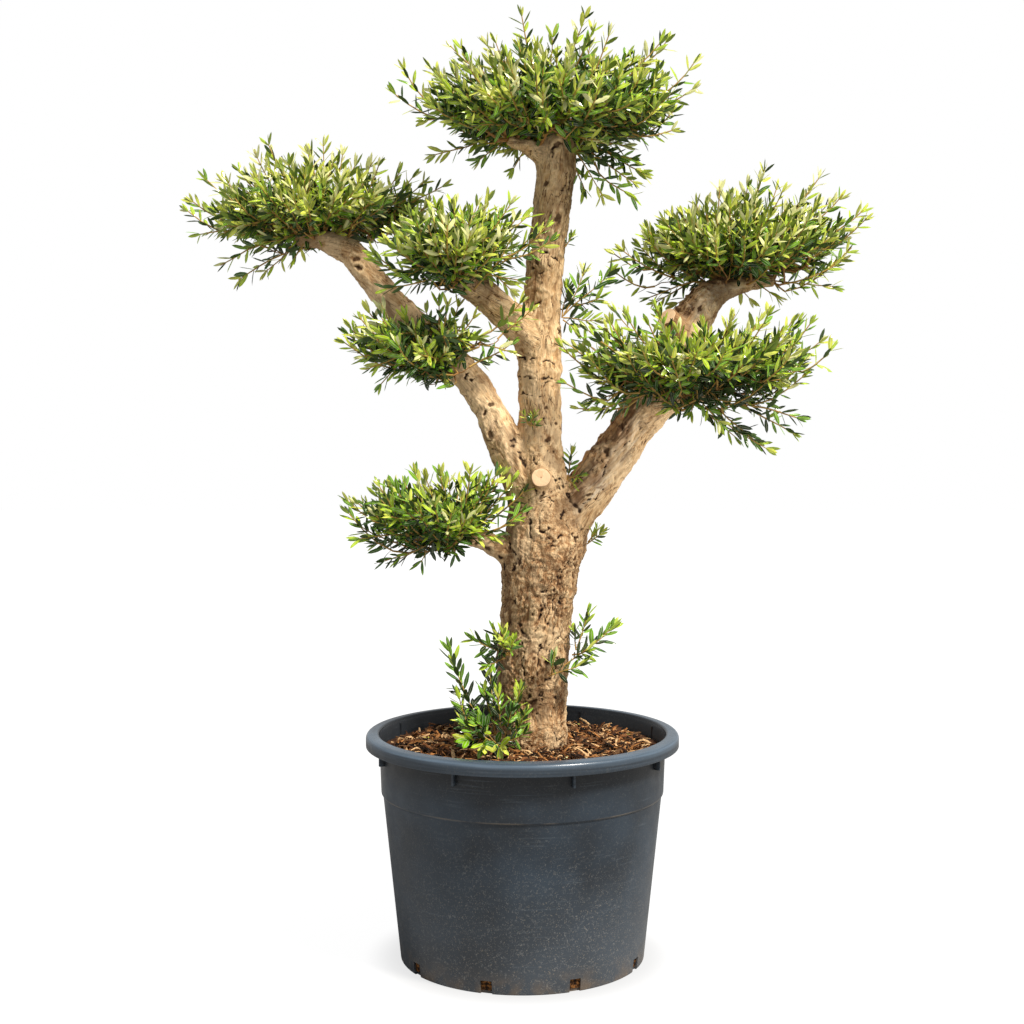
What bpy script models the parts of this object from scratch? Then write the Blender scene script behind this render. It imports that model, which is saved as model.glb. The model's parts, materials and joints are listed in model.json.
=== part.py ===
"""A cloud-pruned olive tree in a round nursery pot, in metres, +Z up.

The origin is the centre of the pot's flat underside, on the surface it stands on.
The tree's front faces -Y. The trunk runs from a flat cut on the root ball up to the crown.
The boughs leave it and end in pads of foliage.
"""

import math

import bmesh
import bpy
from mathutils import Vector, noise

# Clearances between pieces that touch, and the sides of a round piece
GAP = 0.0003
MERGE_REACH = 0.00002
POT_SIDES = 48
LIMB_BEVEL_RESOLUTION = 4
LIMB_STEP = 0.05
BUTT_REACH = 0.017

# Pot: outside radii and heights, from the foot up
POT_FOOT_RADIUS = 0.2547
POT_WALL = 0.004
POT_FLOOR = 0.006
FOOT_CHAMFER = 0.002
STEP_HEIGHT = 0.345
STEP_RISE = 0.0035
STEP_LOWER_RADIUS = 0.2897
STEP_UPPER_RADIUS = 0.2932
NECK_RADIUS = 0.2975
SKIRT_RADIUS = 0.325
SKIRT_HEIGHT = 0.4455
SKIRT_THICKNESS = 0.004
RIM_HEIGHT = 0.4728
RIM_THICKNESS = 0.010
RIM_OUTER_ROLL = ((0.3075, 0.4728), (0.3175, 0.4716), (0.3230, 0.4673), (0.3250, 0.4598))
RIM_INNER_ROLL = ((0.2935, 0.4643), (0.2975, 0.4678), (0.3010, 0.4716))
RIB_COUNT = 8
RIB_FIRST_ANGLE = math.radians(19.0)
RIB_THICKNESS = 0.005
RIB_RADIUS = 0.3075
RIB_FOOT = 0.418
RIB_BITE = 0.001
NOTCH_COUNT = 9
NOTCH_FIRST_ANGLE = math.radians(23.9)
NOTCH_WIDTH = 0.0235
NOTCH_HEIGHT = 0.027
NOTCH_DEPTH = 0.007

# What fills the pot
SOIL_HEIGHT = 0.408
MULCH_HEIGHT = 0.447

# Limbs: places that the centreline passes through, and the radius at each, from the butt to the tip
TRUNK_PATH = (
    (0.026, 0.000, 0.408),
    (0.022, 0.000, 0.509),
    (0.019, 0.000, 0.600),
    (0.030, 0.000, 0.710),
    (0.039, 0.000, 0.810),
    (0.047, 0.004, 0.880),
    (0.040, 0.004, 0.969),
    (0.037, 0.000, 1.088),
    (0.036, 0.000, 1.206),
    (0.040, 0.000, 1.333),
    (0.049, 0.000, 1.460),
    (0.063, 0.000, 1.577),
    (0.073, 0.000, 1.683),
)
TRUNK_RADII = (
    0.0900, 0.0709, 0.0758, 0.0736, 0.0785, 0.0813, 0.0574, 0.0440, 0.0429, 0.0384, 0.0373, 0.0382, 0.0352,
)
LEFT_LOWER_PATH = (
    (0.020, -0.005, 0.939),
    (-0.041, -0.010, 1.078),
    (-0.082, -0.002, 1.166),
    (-0.158, 0.015, 1.260),
    (-0.236, 0.035, 1.328),
    (-0.316, 0.055, 1.418),
    (-0.355, 0.064, 1.470),
)
LEFT_LOWER_RADII = (0.0396, 0.0356, 0.0316, 0.0305, 0.0315, 0.0295, 0.0275)
LEFT_UPPER_PATH = (
    (-0.345, 0.062, 1.472),
    (-0.416, 0.078, 1.493),
    (-0.471, 0.088, 1.499),
)
LEFT_UPPER_RADII = (0.0255, 0.0206, 0.0157)
CENTRE_PATH = (
    (0.026, -0.006, 1.275),
    (-0.032, -0.030, 1.333),
    (-0.069, -0.055, 1.366),
    (-0.106, -0.085, 1.394),
    (-0.157, -0.110, 1.413),
)
CENTRE_RADII = (0.0355, 0.0334, 0.0324, 0.0304, 0.0196)
RIGHT_LOWER_PATH = (
    (0.060, 0.010, 0.840),
    (0.104, 0.012, 0.924),
    (0.174, 0.020, 1.023),
    (0.222, 0.030, 1.093),
    (0.268, 0.040, 1.167),
    (0.306, 0.055, 1.240),
)
RIGHT_LOWER_RADII = (0.0496, 0.0476, 0.0470, 0.0440, 0.0434, 0.0424)
RIGHT_UPPER_PATH = (
    (0.306, 0.055, 1.240),
    (0.364, 0.080, 1.338),
    (0.398, 0.095, 1.380),
    (0.452, 0.110, 1.402),
    (0.531, 0.120, 1.414),
)
RIGHT_UPPER_RADII = (0.0424, 0.0394, 0.0334, 0.0216, 0.0138)
RIGHT_ARM_PATH = (
    (0.259, 0.020, 1.127),
    (0.306, 0.000, 1.160),
    (0.350, -0.025, 1.169),
    (0.404, -0.050, 1.178),
)
RIGHT_ARM_RADII = (0.0336, 0.0257, 0.0187, 0.0138)
LOW_LEFT_PATH = (
    (0.026, 0.002, 0.800),
    (-0.048, -0.014, 0.858),
    (-0.104, -0.027, 0.877),
    (-0.164, -0.044, 0.897),
)
LOW_LEFT_RADII = (0.0358, 0.0218, 0.0179, 0.0129)
TOP_LEFT_PATH = ((0.061, 0.000, 1.649), (0.022, -0.014, 1.666), (-0.029, -0.030, 1.683))
TOP_LEFT_RADII = (0.0235, 0.0176, 0.0088)
FRONT_STUB_PATH = ((0.038, -0.020, 0.989), (0.038, -0.072, 1.003))
FRONT_STUB_RADII = (0.0257, 0.0203)
RIGHT_STUB_PATH = ((0.340, 0.062, 1.289), (0.307, 0.040, 1.341))
RIGHT_STUB_RADII = (0.0236, 0.0207)

# Foliage masses: the middle, how far each reaches from it, further bulges as (offset, half sizes),
# and single tips
TOP_MASS = dict(
    middle=(0.066, 0.000, 1.743),
    left=0.290, right=0.275, front=0.235, back=0.235, up=0.140, down=0.085,
    bulges=(
        ((0.120, -0.020, -0.085), (0.075, 0.070, 0.085)),
        ((-0.060, 0.030, 0.030), (0.150, 0.120, 0.125)),
    ),
    tips=((0.000, 0.000, 1.941), (0.127, 0.020, 1.925), (-0.252, 0.000, 1.789), (0.354, 0.000, 1.830)),
    sides=24, seed=3,
)
LEFT_MASS = dict(
    middle=(-0.447, 0.100, 1.563),
    left=0.235, right=0.270, front=0.175, back=0.175, up=0.090, down=0.085,
    bulges=(
        ((-0.110, 0.000, -0.030), (0.110, 0.110, 0.090)),
        ((0.000, 0.000, 0.030), (0.120, 0.100, 0.095)),
    ),
    tips=((-0.698, 0.100, 1.572), (-0.540, 0.100, 1.696), (-0.420, 0.090, 1.695), (-0.177, 0.090, 1.608),
          (-0.597, 0.095, 1.437)),
    sides=22, seed=5,
)
CENTRE_MASS = dict(
    middle=(-0.133, -0.130, 1.462),
    left=0.160, right=0.150, front=0.140, back=0.120, up=0.085, down=0.060,
    bulges=(((-0.060, 0.000, -0.030), (0.080, 0.080, 0.060)),),
    tips=((-0.294, -0.120, 1.489), (-0.139, -0.120, 1.553), (0.025, -0.130, 1.491), (-0.021, -0.125, 1.543),
          (-0.028, -0.120, 1.378)),
    sides=20, seed=7,
)
INNER_LEFT_MASS = dict(
    middle=(-0.231, -0.100, 1.272),
    left=0.115, right=0.115, front=0.125, back=0.120, up=0.078, down=0.074,
    bulges=(((0.110, -0.020, 0.000), (0.080, 0.060, 0.045)),),
    tips=((-0.349, -0.100, 1.279), (-0.027, -0.110, 1.272), (0.008, -0.110, 1.339), (-0.286, -0.100, 1.193)),
    sides=18, seed=11,
)
LOW_LEFT_MASS = dict(
    middle=(-0.183, -0.060, 0.934),
    left=0.165, right=0.155, front=0.150, back=0.145, up=0.068, down=0.074,
    bulges=(),
    tips=((-0.354, -0.060, 0.929), (-0.285, -0.060, 0.834), (-0.218, -0.060, 1.010), (-0.107, -0.060, 1.022),
          (-0.037, -0.060, 1.014), (0.008, -0.075, 0.979)),
    sides=20, seed=13,
)
RIGHT_MASS = dict(
    middle=(0.473, 0.120, 1.495),
    left=0.245, right=0.235, front=0.190, back=0.190, up=0.100, down=0.085,
    bulges=(
        ((-0.130, 0.000, -0.025), (0.110, 0.110, 0.085)),
        ((0.100, 0.000, 0.020), (0.130, 0.110, 0.085)),
    ),
    tips=((0.197, 0.110, 1.468), (0.719, 0.120, 1.548), (0.513, 0.120, 1.645), (0.630, 0.120, 1.622),
          (0.318, 0.110, 1.369), (0.666, 0.130, 1.587)),
    sides=22, seed=17,
)
INNER_RIGHT_MASS = dict(
    middle=(0.340, -0.085, 1.243),
    left=0.235, right=0.265, front=0.170, back=0.155, up=0.072, down=0.072,
    bulges=(
        ((0.150, -0.010, -0.080), (0.070, 0.060, 0.080)),
        ((-0.170, 0.000, -0.020), (0.080, 0.090, 0.070)),
    ),
    tips=((0.081, -0.080, 1.272), (0.616, -0.080, 1.276), (0.166, -0.080, 1.142), (0.190, -0.080, 1.341),
          (0.502, -0.080, 1.333), (0.553, -0.085, 1.110), (0.491, -0.085, 1.062)),
    sides=22, seed=19,
)
SUCKER_MASS = dict(
    middle=(-0.072, -0.085, 0.554),
    left=0.080, right=0.070, front=0.070, back=0.060, up=0.110, down=0.120,
    bulges=(((0.040, 0.000, 0.080), (0.050, 0.050, 0.060)),),
    tips=((-0.159, -0.085, 0.620), (-0.030, -0.085, 0.700), (-0.092, -0.085, 0.678)),
    sides=14, seed=23,
)
TRUNK_SPROUT_MASS = dict(
    middle=(0.122, -0.035, 0.650),
    left=0.055, right=0.050, front=0.045, back=0.045, up=0.060, down=0.045,
    bulges=(),
    tips=((0.195, -0.035, 0.698), (0.136, -0.035, 0.728), (0.140, -0.045, 0.616)),
    sides=12, seed=29,
)
LEADER_SPROUT_MASS = dict(
    middle=(0.116, 0.000, 1.358),
    left=0.050, right=0.050, front=0.050, back=0.050, up=0.060, down=0.050,
    bulges=(),
    tips=((0.187, 0.000, 1.402), (0.131, 0.000, 1.428), (0.148, 0.000, 1.322)),
    sides=12, seed=31,
)
CROTCH_SPRIG_MASS = dict(
    middle=(0.102, -0.020, 1.023),
    left=0.022, right=0.022, front=0.020, back=0.020, up=0.040, down=0.055,
    bulges=(),
    tips=((0.102, -0.020, 1.068),),
    sides=10, seed=37,
)
BUTT_SPRIG_MASS = dict(
    middle=(0.154, -0.010, 0.878),
    left=0.030, right=0.016, front=0.018, back=0.018, up=0.024, down=0.022,
    bulges=(),
    tips=((0.174, -0.010, 0.872),),
    sides=10, seed=41,
)

# Unevenness of every mass: clumps of shoots this close together, and this deep against the reach
CLUMPS_PER_METRE = 14.0
CLUMP_DEPTH = 0.16
RINGS_PER_SIDE = 0.585

LIMBS = {
    "trunk": (TRUNK_PATH, TRUNK_RADII),
    "bough_left_lower": (LEFT_LOWER_PATH, LEFT_LOWER_RADII),
    "bough_left_upper": (LEFT_UPPER_PATH, LEFT_UPPER_RADII),
    "bough_centre": (CENTRE_PATH, CENTRE_RADII),
    "bough_right_lower": (RIGHT_LOWER_PATH, RIGHT_LOWER_RADII),
    "bough_right_upper": (RIGHT_UPPER_PATH, RIGHT_UPPER_RADII),
    "bough_right_arm": (RIGHT_ARM_PATH, RIGHT_ARM_RADII),
    "bough_low_left": (LOW_LEFT_PATH, LOW_LEFT_RADII),
    "bough_top_left": (TOP_LEFT_PATH, TOP_LEFT_RADII),
    "stub_front": (FRONT_STUB_PATH, FRONT_STUB_RADII),
    "stub_right": (RIGHT_STUB_PATH, RIGHT_STUB_RADII),
}
MASSES = {
    "foliage_top": TOP_MASS,
    "foliage_left": LEFT_MASS,
    "foliage_centre": CENTRE_MASS,
    "foliage_inner_left": INNER_LEFT_MASS,
    "foliage_low_left": LOW_LEFT_MASS,
    "foliage_right": RIGHT_MASS,
    "foliage_inner_right": INNER_RIGHT_MASS,
    "suckers_foot": SUCKER_MASS,
    "sprout_trunk": TRUNK_SPROUT_MASS,
    "sprout_leader": LEADER_SPROUT_MASS,
    "sprig_crotch": CROTCH_SPRIG_MASS,
    "sprig_butt": BUTT_SPRIG_MASS,
}
# What each piece makes room for
CUT_BY = {
    "bough_left_lower": ("trunk",),
    "bough_left_upper": ("bough_left_lower", "foliage_left"),
    "bough_centre": ("trunk", "foliage_centre"),
    "bough_right_lower": ("trunk",),
    "bough_right_upper": ("bough_right_lower", "foliage_right"),
    "bough_right_arm": ("bough_right_lower", "foliage_inner_right"),
    "bough_low_left": ("trunk", "foliage_low_left"),
    "bough_top_left": ("trunk", "foliage_top"),
    "stub_front": ("trunk",),
    "stub_right": ("bough_right_upper", "bough_right_lower"),
    "foliage_top": ("trunk",),
    "foliage_left": ("bough_left_lower", "foliage_centre"),
    "foliage_centre": ("trunk",),
    "foliage_inner_left": ("bough_left_lower", "bough_left_upper", "trunk", "foliage_centre"),
    "foliage_low_left": ("trunk",),
    "foliage_right": ("stub_right",),
    "foliage_inner_right": (
        "trunk", "bough_right_lower", "bough_right_upper", "stub_right", "foliage_right",
    ),
    "suckers_foot": ("trunk", "mulch"),
    "sprout_trunk": ("trunk",),
    "sprout_leader": ("trunk", "foliage_inner_right"),
    "sprig_crotch": ("trunk", "bough_right_lower"),
    "sprig_butt": ("trunk", "bough_right_lower"),
}

BARK_COLOUR = (0.42, 0.27, 0.15)
CUT_COLOUR = (0.75, 0.47, 0.22)
LEAF_COLOUR = (0.11, 0.19, 0.05)
POT_COLOUR = (0.035, 0.046, 0.058)
SOIL_COLOUR = (0.045, 0.025, 0.014)
MULCH_COLOUR = (0.17, 0.085, 0.04)


def clear_scene():
    for obj in list(bpy.data.objects):
        bpy.data.objects.remove(obj, do_unlink=True)


def new_collection(name):
    collection = bpy.data.collections.new(name)
    bpy.context.scene.collection.children.link(collection)
    return collection


def material(name, colour, roughness):
    finish = bpy.data.materials.new(name)
    finish.use_nodes = True
    shader = finish.node_tree.nodes["Principled BSDF"]
    shader.inputs["Base Color"].default_value = (*colour, 1.0)
    shader.inputs["Roughness"].default_value = roughness
    shader.inputs["Metallic"].default_value = 0.0
    return finish


def link_mesh(name, mesh, collection, finish=None):
    obj = bpy.data.objects.new(name, mesh)
    collection.objects.link(obj)
    if finish:
        mesh.materials.append(finish)
    return obj


def hide_cutter(obj):
    obj.hide_render = True
    obj.display_type = "WIRE"


def boolean(obj, other, operation="DIFFERENCE"):
    modifier = obj.modifiers.new(operation.title(), "BOOLEAN")
    modifier.operation = operation
    modifier.solver = "EXACT"
    modifier.object = other


def apply_modifiers(obj):
    """Puts the evaluated shape into the object's own mesh and drops its modifiers."""
    graph = bpy.context.evaluated_depsgraph_get()
    mesh = bpy.data.meshes.new_from_object(obj.evaluated_get(graph))
    obj.modifiers.clear()
    obj.data = mesh


def keep_largest_body(obj):
    """A cut may leave a loose end on the far side of what it goes into. Only the largest body stays."""
    shape = bmesh.new()
    shape.from_mesh(obj.data)
    shape.faces.ensure_lookup_table()
    seen = set()
    bodies = []
    for start in shape.faces:
        if start.index in seen:
            continue
        seen.add(start.index)
        body = [start]
        for face in body:
            for edge in face.edges:
                for beside in edge.link_faces:
                    if beside.index not in seen:
                        seen.add(beside.index)
                        body.append(beside)
        bodies.append(body)
    bodies.sort(key=lambda faces: sum(face.calc_area() for face in faces))
    loose = [face for body in bodies[:-1] for face in body]
    bmesh.ops.delete(shape, geom=loose, context="FACES")
    shape.to_mesh(obj.data)
    shape.free()


# -------------------------------------------------------------------------------------- pot and its filling


def turned(name, profile, collection, finish=None):
    """A closed profile of (radius, height) points, outer side downwards, turned about the pot's axis.

    Where two points in a row lie on the axis, nothing joins them.
    """
    mesh = bpy.data.meshes.new(name)
    points = [(radius, 0.0, height) for radius, height in profile]
    around = [(index, (index + 1) % len(points)) for index in range(len(points))]
    edges = [(start, end) for start, end in around if profile[start][0] > 0 or profile[end][0] > 0]
    mesh.from_pydata(points, edges, [])
    obj = link_mesh(name, mesh, collection, finish)
    screw = obj.modifiers.new("Turn", "SCREW")
    screw.steps = POT_SIDES
    screw.render_steps = POT_SIDES
    screw.use_merge_vertices = True
    screw.merge_threshold = MERGE_REACH
    screw.use_smooth_shade = True
    return obj


def wall_radius(height):
    """Outside radius of the pot's wall below the step where it widens, and above it."""
    if height < STEP_HEIGHT:
        share = (height - FOOT_CHAMFER) / (STEP_HEIGHT - FOOT_CHAMFER)
        return POT_FOOT_RADIUS + (STEP_LOWER_RADIUS - POT_FOOT_RADIUS) * share
    share = (height - STEP_HEIGHT - STEP_RISE) / (RIM_HEIGHT - RIM_THICKNESS - STEP_HEIGHT - STEP_RISE)
    return STEP_UPPER_RADIUS + (NECK_RADIUS - STEP_UPPER_RADIUS) * share


def pot_profile():
    """The rolled rim with its open skirt, the stepped wall, the floor and the wall's inside."""
    outside = [
        *RIM_OUTER_ROLL,
        (SKIRT_RADIUS, SKIRT_HEIGHT),
        (SKIRT_RADIUS - SKIRT_THICKNESS, SKIRT_HEIGHT),
        (SKIRT_RADIUS - SKIRT_THICKNESS, RIM_HEIGHT - RIM_THICKNESS),
        (NECK_RADIUS, RIM_HEIGHT - RIM_THICKNESS),
        (STEP_UPPER_RADIUS, STEP_HEIGHT + STEP_RISE),
        (STEP_LOWER_RADIUS, STEP_HEIGHT),
        (POT_FOOT_RADIUS, FOOT_CHAMFER),
        (POT_FOOT_RADIUS - FOOT_CHAMFER, 0.0),
        (0.0, 0.0),
    ]
    inside = [
        (0.0, POT_FLOOR),
        (wall_radius(POT_FLOOR) - POT_WALL, POT_FLOOR),
        (STEP_LOWER_RADIUS - POT_WALL, STEP_HEIGHT),
        (STEP_UPPER_RADIUS - POT_WALL, STEP_HEIGHT + STEP_RISE),
        *RIM_INNER_ROLL,
    ]
    return outside + inside


def wedge(name, size, middle, angle, collection):
    """A box of radial, tangential and upright size, at a radius and turned about the pot's axis."""
    mesh = bpy.data.meshes.new(name)
    shape = bmesh.new()
    bmesh.ops.create_cube(shape, size=1.0)
    bmesh.ops.scale(shape, vec=size, verts=shape.verts)
    shape.to_mesh(mesh)
    shape.free()
    obj = link_mesh(name, mesh, collection)
    obj.location = (middle[0] * math.sin(angle), -middle[0] * math.cos(angle), middle[1])
    obj.rotation_euler = (0.0, 0.0, angle - math.pi / 2)
    return obj


def make_pot(parts, cutters):
    pot = turned("pot", pot_profile(), parts, material("pot_plastic", POT_COLOUR, 0.45))
    for index in range(RIB_COUNT):
        angle = RIB_FIRST_ANGLE + index * math.tau / RIB_COUNT
        height = RIM_HEIGHT - RIM_THICKNESS + RIB_BITE - RIB_FOOT
        inside = wall_radius(RIB_FOOT) - RIB_BITE
        rib = wedge(
            f"rib_{index + 1}",
            (RIB_RADIUS - inside, RIB_THICKNESS, height),
            ((RIB_RADIUS + inside) / 2, RIB_FOOT + height / 2),
            angle,
            cutters,
        )
        hide_cutter(rib)
        boolean(pot, rib, "UNION")
    for index in range(NOTCH_COUNT):
        angle = NOTCH_FIRST_ANGLE + index * math.tau / NOTCH_COUNT
        notch = wedge(
            f"notch_{index + 1}",
            (2 * NOTCH_DEPTH, NOTCH_WIDTH, 2 * NOTCH_HEIGHT),
            (POT_FOOT_RADIUS, 0.0),
            angle,
            cutters,
        )
        hide_cutter(notch)
        boolean(pot, notch)


def make_root_ball(parts):
    clear = POT_WALL + 2 * GAP
    profile = [
        (0.0, SOIL_HEIGHT - GAP),
        (wall_radius(SOIL_HEIGHT) - clear, SOIL_HEIGHT - GAP),
        (STEP_UPPER_RADIUS - clear, STEP_HEIGHT + STEP_RISE + GAP),
        (STEP_LOWER_RADIUS - clear, STEP_HEIGHT + GAP),
        (wall_radius(POT_FLOOR) - clear, POT_FLOOR + GAP),
        (0.0, POT_FLOOR + GAP),
    ]
    turned("root_ball", profile, parts, material("potting_soil", SOIL_COLOUR, 0.95))


def mulch_profile(grow):
    clear = POT_WALL + 2 * GAP - grow
    return [
        (0.0, MULCH_HEIGHT + grow),
        (wall_radius(MULCH_HEIGHT) - clear, MULCH_HEIGHT + grow),
        (wall_radius(SOIL_HEIGHT) - clear, SOIL_HEIGHT - grow),
        (0.0, SOIL_HEIGHT - grow),
    ]


def make_mulch(parts, cutters, trunk_cutter):
    """A level layer of bark chips round the trunk's foot, and its cutter."""
    mulch = turned("mulch", mulch_profile(0.0), parts, material("bark_mulch", MULCH_COLOUR, 0.9))
    boolean(mulch, trunk_cutter)
    cutter = turned("mulch_cutter", mulch_profile(GAP), cutters)
    hide_cutter(cutter)
    return cutter


# ----------------------------------------------------------------------------------------------------- limbs


def through(points, radii, step):
    """Places and radii along a smooth curve through the given ones, about one step apart."""
    stations = [Vector((*point, radius)) for point, radius in zip(points, radii)]
    stations = [2 * stations[0] - stations[1], *stations, 2 * stations[-1] - stations[-2]]
    line = []
    for index in range(1, len(stations) - 2):
        before, start, end, after = stations[index - 1:index + 3]
        count = max(1, round((end.xyz - start.xyz).length / step))
        for part in range(count):
            t = part / count
            line.append(
                0.5 * (2 * start + (end - before) * t + (2 * before - 5 * start + 4 * end - after) * t ** 2
                       + (3 * start - before - 3 * end + after) * t ** 3)
            )
    line.append(stations[-2])
    return line


def limb_mesh(name, points, radii, grow):
    """A tapering round limb as a closed mesh. It grows by a skin of some thickness to cut its neighbours."""
    curve = bpy.data.curves.new(name, "CURVE")
    curve.dimensions = "3D"
    curve.bevel_depth = 1.0
    curve.bevel_resolution = LIMB_BEVEL_RESOLUTION
    curve.use_fill_caps = True
    line = through(points, radii, LIMB_STEP)
    spline = curve.splines.new("POLY")
    spline.points.add(len(line) - 1)
    for point, station in zip(spline.points, line):
        point.co = (station.x, station.y, station.z, 1.0)
        point.radius = station.w + grow
    if grow:
        for end, beside in ((0, 1), (-1, -2)):
            outward = (line[end].xyz - line[beside].xyz).normalized() * grow
            spline.points[end].co = (*(line[end].xyz + outward), 1.0)
    holder = bpy.data.objects.new(name, curve)
    bpy.context.scene.collection.objects.link(holder)
    graph = bpy.context.evaluated_depsgraph_get()
    mesh = bpy.data.meshes.new_from_object(holder.evaluated_get(graph))
    bpy.data.objects.remove(holder)
    shape = bmesh.new()
    shape.from_mesh(mesh)
    bmesh.ops.remove_doubles(shape, verts=shape.verts, dist=MERGE_REACH)
    bmesh.ops.recalc_face_normals(shape, faces=shape.faces)
    shape.to_mesh(mesh)
    shape.free()
    mesh.shade_smooth()
    return mesh


def level_foot(mesh, height):
    """Brings the butt's cut level with the ground, whatever way the trunk leans there."""
    lowest = min(vertex.co.z for vertex in mesh.vertices)
    for vertex in mesh.vertices:
        if vertex.co.z < lowest + BUTT_REACH:
            vertex.co.z = height


def cut_clear(obj, others):
    for other in others:
        boolean(obj, other)
    if others:
        apply_modifiers(obj)
        keep_largest_body(obj)


def add_piece(name, make_mesh, finish, parts, cutters):
    """A piece, and a copy of it grown by the gap that cuts its neighbours clear of it."""
    obj = link_mesh(name, make_mesh(name, 0.0), parts, finish)
    cutter = link_mesh(name + "_cutter", make_mesh(name + "_cutter", GAP), cutters)
    hide_cutter(cutter)
    return obj, cutter


# ---------------------------------------------------------------------------------------------------- masses


def exit_distance(direction, offset, half_sizes):
    """How far a ray from the middle runs before it leaves an ellipsoid, or 0 where it misses it."""
    scaled = [direction[axis] / half_sizes[axis] for axis in range(3)]
    shift = [offset[axis] / half_sizes[axis] for axis in range(3)]
    square = sum(value * value for value in scaled)
    across = sum(value * other for value, other in zip(scaled, shift))
    room = across ** 2 - square * (sum(value * value for value in shift) - 1)
    return (across + math.sqrt(room)) / square if room > 0 else 0.0


def mass_mesh(name, shape_of, grow):
    """An uneven pad of foliage: a lopsided ellipsoid with bulges, clumps and a few tips pulled out."""
    middle = Vector(shape_of["middle"])
    shape = bmesh.new()
    rings = int(shape_of["sides"] * RINGS_PER_SIDE)
    bmesh.ops.create_uvsphere(shape, u_segments=shape_of["sides"], v_segments=rings, radius=1.0)
    flat = Vector((shape_of["left"] + shape_of["right"], shape_of["front"] + shape_of["back"],
                   shape_of["up"] + shape_of["down"])) / 2
    for vertex in shape.verts:
        direction = Vector(vertex.co[axis] * flat[axis] for axis in range(3)).normalized()
        half_sizes = (
            shape_of["right"] if direction.x > 0 else shape_of["left"],
            shape_of["back"] if direction.y > 0 else shape_of["front"],
            shape_of["up"] if direction.z > 0 else shape_of["down"],
        )
        reach = exit_distance(direction, (0.0, 0.0, 0.0), half_sizes)
        for offset, size in shape_of["bulges"]:
            reach = max(reach, exit_distance(direction, offset, size))
        place = middle + direction * reach
        clump = noise.noise(place * CLUMPS_PER_METRE + Vector((shape_of["seed"], 0.0, 0.0)))
        vertex.co = middle + direction * (reach * (1 + CLUMP_DEPTH * clump) + grow)
    for tip in shape_of["tips"]:
        aim = (Vector(tip) - middle).normalized()
        nearest = max(shape.verts, key=lambda vertex: (vertex.co - middle).normalized().dot(aim))
        nearest.co = Vector(tip) + aim * grow
    bmesh.ops.triangulate(shape, faces=shape.faces)
    bmesh.ops.recalc_face_normals(shape, faces=shape.faces)
    mesh = bpy.data.meshes.new(name)
    shape.to_mesh(mesh)
    shape.free()
    return mesh


# -------------------------------------------------------------------------------------------------- assembly


def main():
    clear_scene()
    parts = new_collection("potted_olive_tree")
    cutters = new_collection("cutters")
    bark = material("olive_bark", BARK_COLOUR, 0.85)
    fresh_cut = material("fresh_cut_wood", CUT_COLOUR, 0.75)
    leaves = material("olive_leaves", LEAF_COLOUR, 0.55)

    make_pot(parts, cutters)
    make_root_ball(parts)

    pieces = {}
    cutter_of = {}
    for name, (points, radii) in LIMBS.items():
        finish = fresh_cut if name.startswith("stub") else bark
        pieces[name], cutter_of[name] = add_piece(
            name, lambda label, grow: limb_mesh(label, points, radii, grow), finish, parts, cutters
        )
    level_foot(pieces["trunk"].data, SOIL_HEIGHT)
    level_foot(cutter_of["trunk"].data, SOIL_HEIGHT - GAP)
    for name, shape_of in MASSES.items():
        pieces[name], cutter_of[name] = add_piece(
            name, lambda label, grow: mass_mesh(label, shape_of, grow), leaves, parts, cutters
        )
    cutter_of["mulch"] = make_mulch(parts, cutters, cutter_of["trunk"])
    for name, others in CUT_BY.items():
        cut_clear(pieces[name], [cutter_of[other] for other in others])


main()
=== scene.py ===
"""The looks of a cloud-pruned olive tree in a round nursery pot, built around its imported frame.

Metres, +Z up, the tree's front towards -Y. The sections follow the tree from the ground up: the studio it
stands in, its pot, the root ball, the mulch, the wood, the cut faces, the crown and the sprouts.
"""

import json
import math
import random

import bmesh
import bpy
import numpy as np
from mathutils import Matrix, Vector, noise
from mathutils.bvhtree import BVHTree

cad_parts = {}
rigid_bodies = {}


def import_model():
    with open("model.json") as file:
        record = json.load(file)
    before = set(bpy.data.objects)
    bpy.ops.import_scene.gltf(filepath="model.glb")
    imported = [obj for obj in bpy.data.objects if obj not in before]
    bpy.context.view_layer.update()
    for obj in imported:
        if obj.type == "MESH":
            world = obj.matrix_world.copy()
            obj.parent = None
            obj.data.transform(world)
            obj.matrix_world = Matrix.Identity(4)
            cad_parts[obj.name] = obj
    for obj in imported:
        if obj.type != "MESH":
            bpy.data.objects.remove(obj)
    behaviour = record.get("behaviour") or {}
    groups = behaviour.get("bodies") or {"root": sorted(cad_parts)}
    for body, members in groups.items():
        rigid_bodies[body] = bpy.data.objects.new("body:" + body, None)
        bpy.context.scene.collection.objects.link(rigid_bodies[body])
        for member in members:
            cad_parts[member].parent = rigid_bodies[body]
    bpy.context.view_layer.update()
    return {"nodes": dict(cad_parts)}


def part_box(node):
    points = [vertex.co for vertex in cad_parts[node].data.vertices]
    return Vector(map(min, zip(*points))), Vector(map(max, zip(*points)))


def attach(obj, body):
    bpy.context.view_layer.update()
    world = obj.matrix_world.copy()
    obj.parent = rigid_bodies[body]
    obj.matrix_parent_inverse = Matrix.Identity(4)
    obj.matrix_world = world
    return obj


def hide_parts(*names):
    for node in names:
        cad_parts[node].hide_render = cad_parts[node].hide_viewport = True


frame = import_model()

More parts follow.
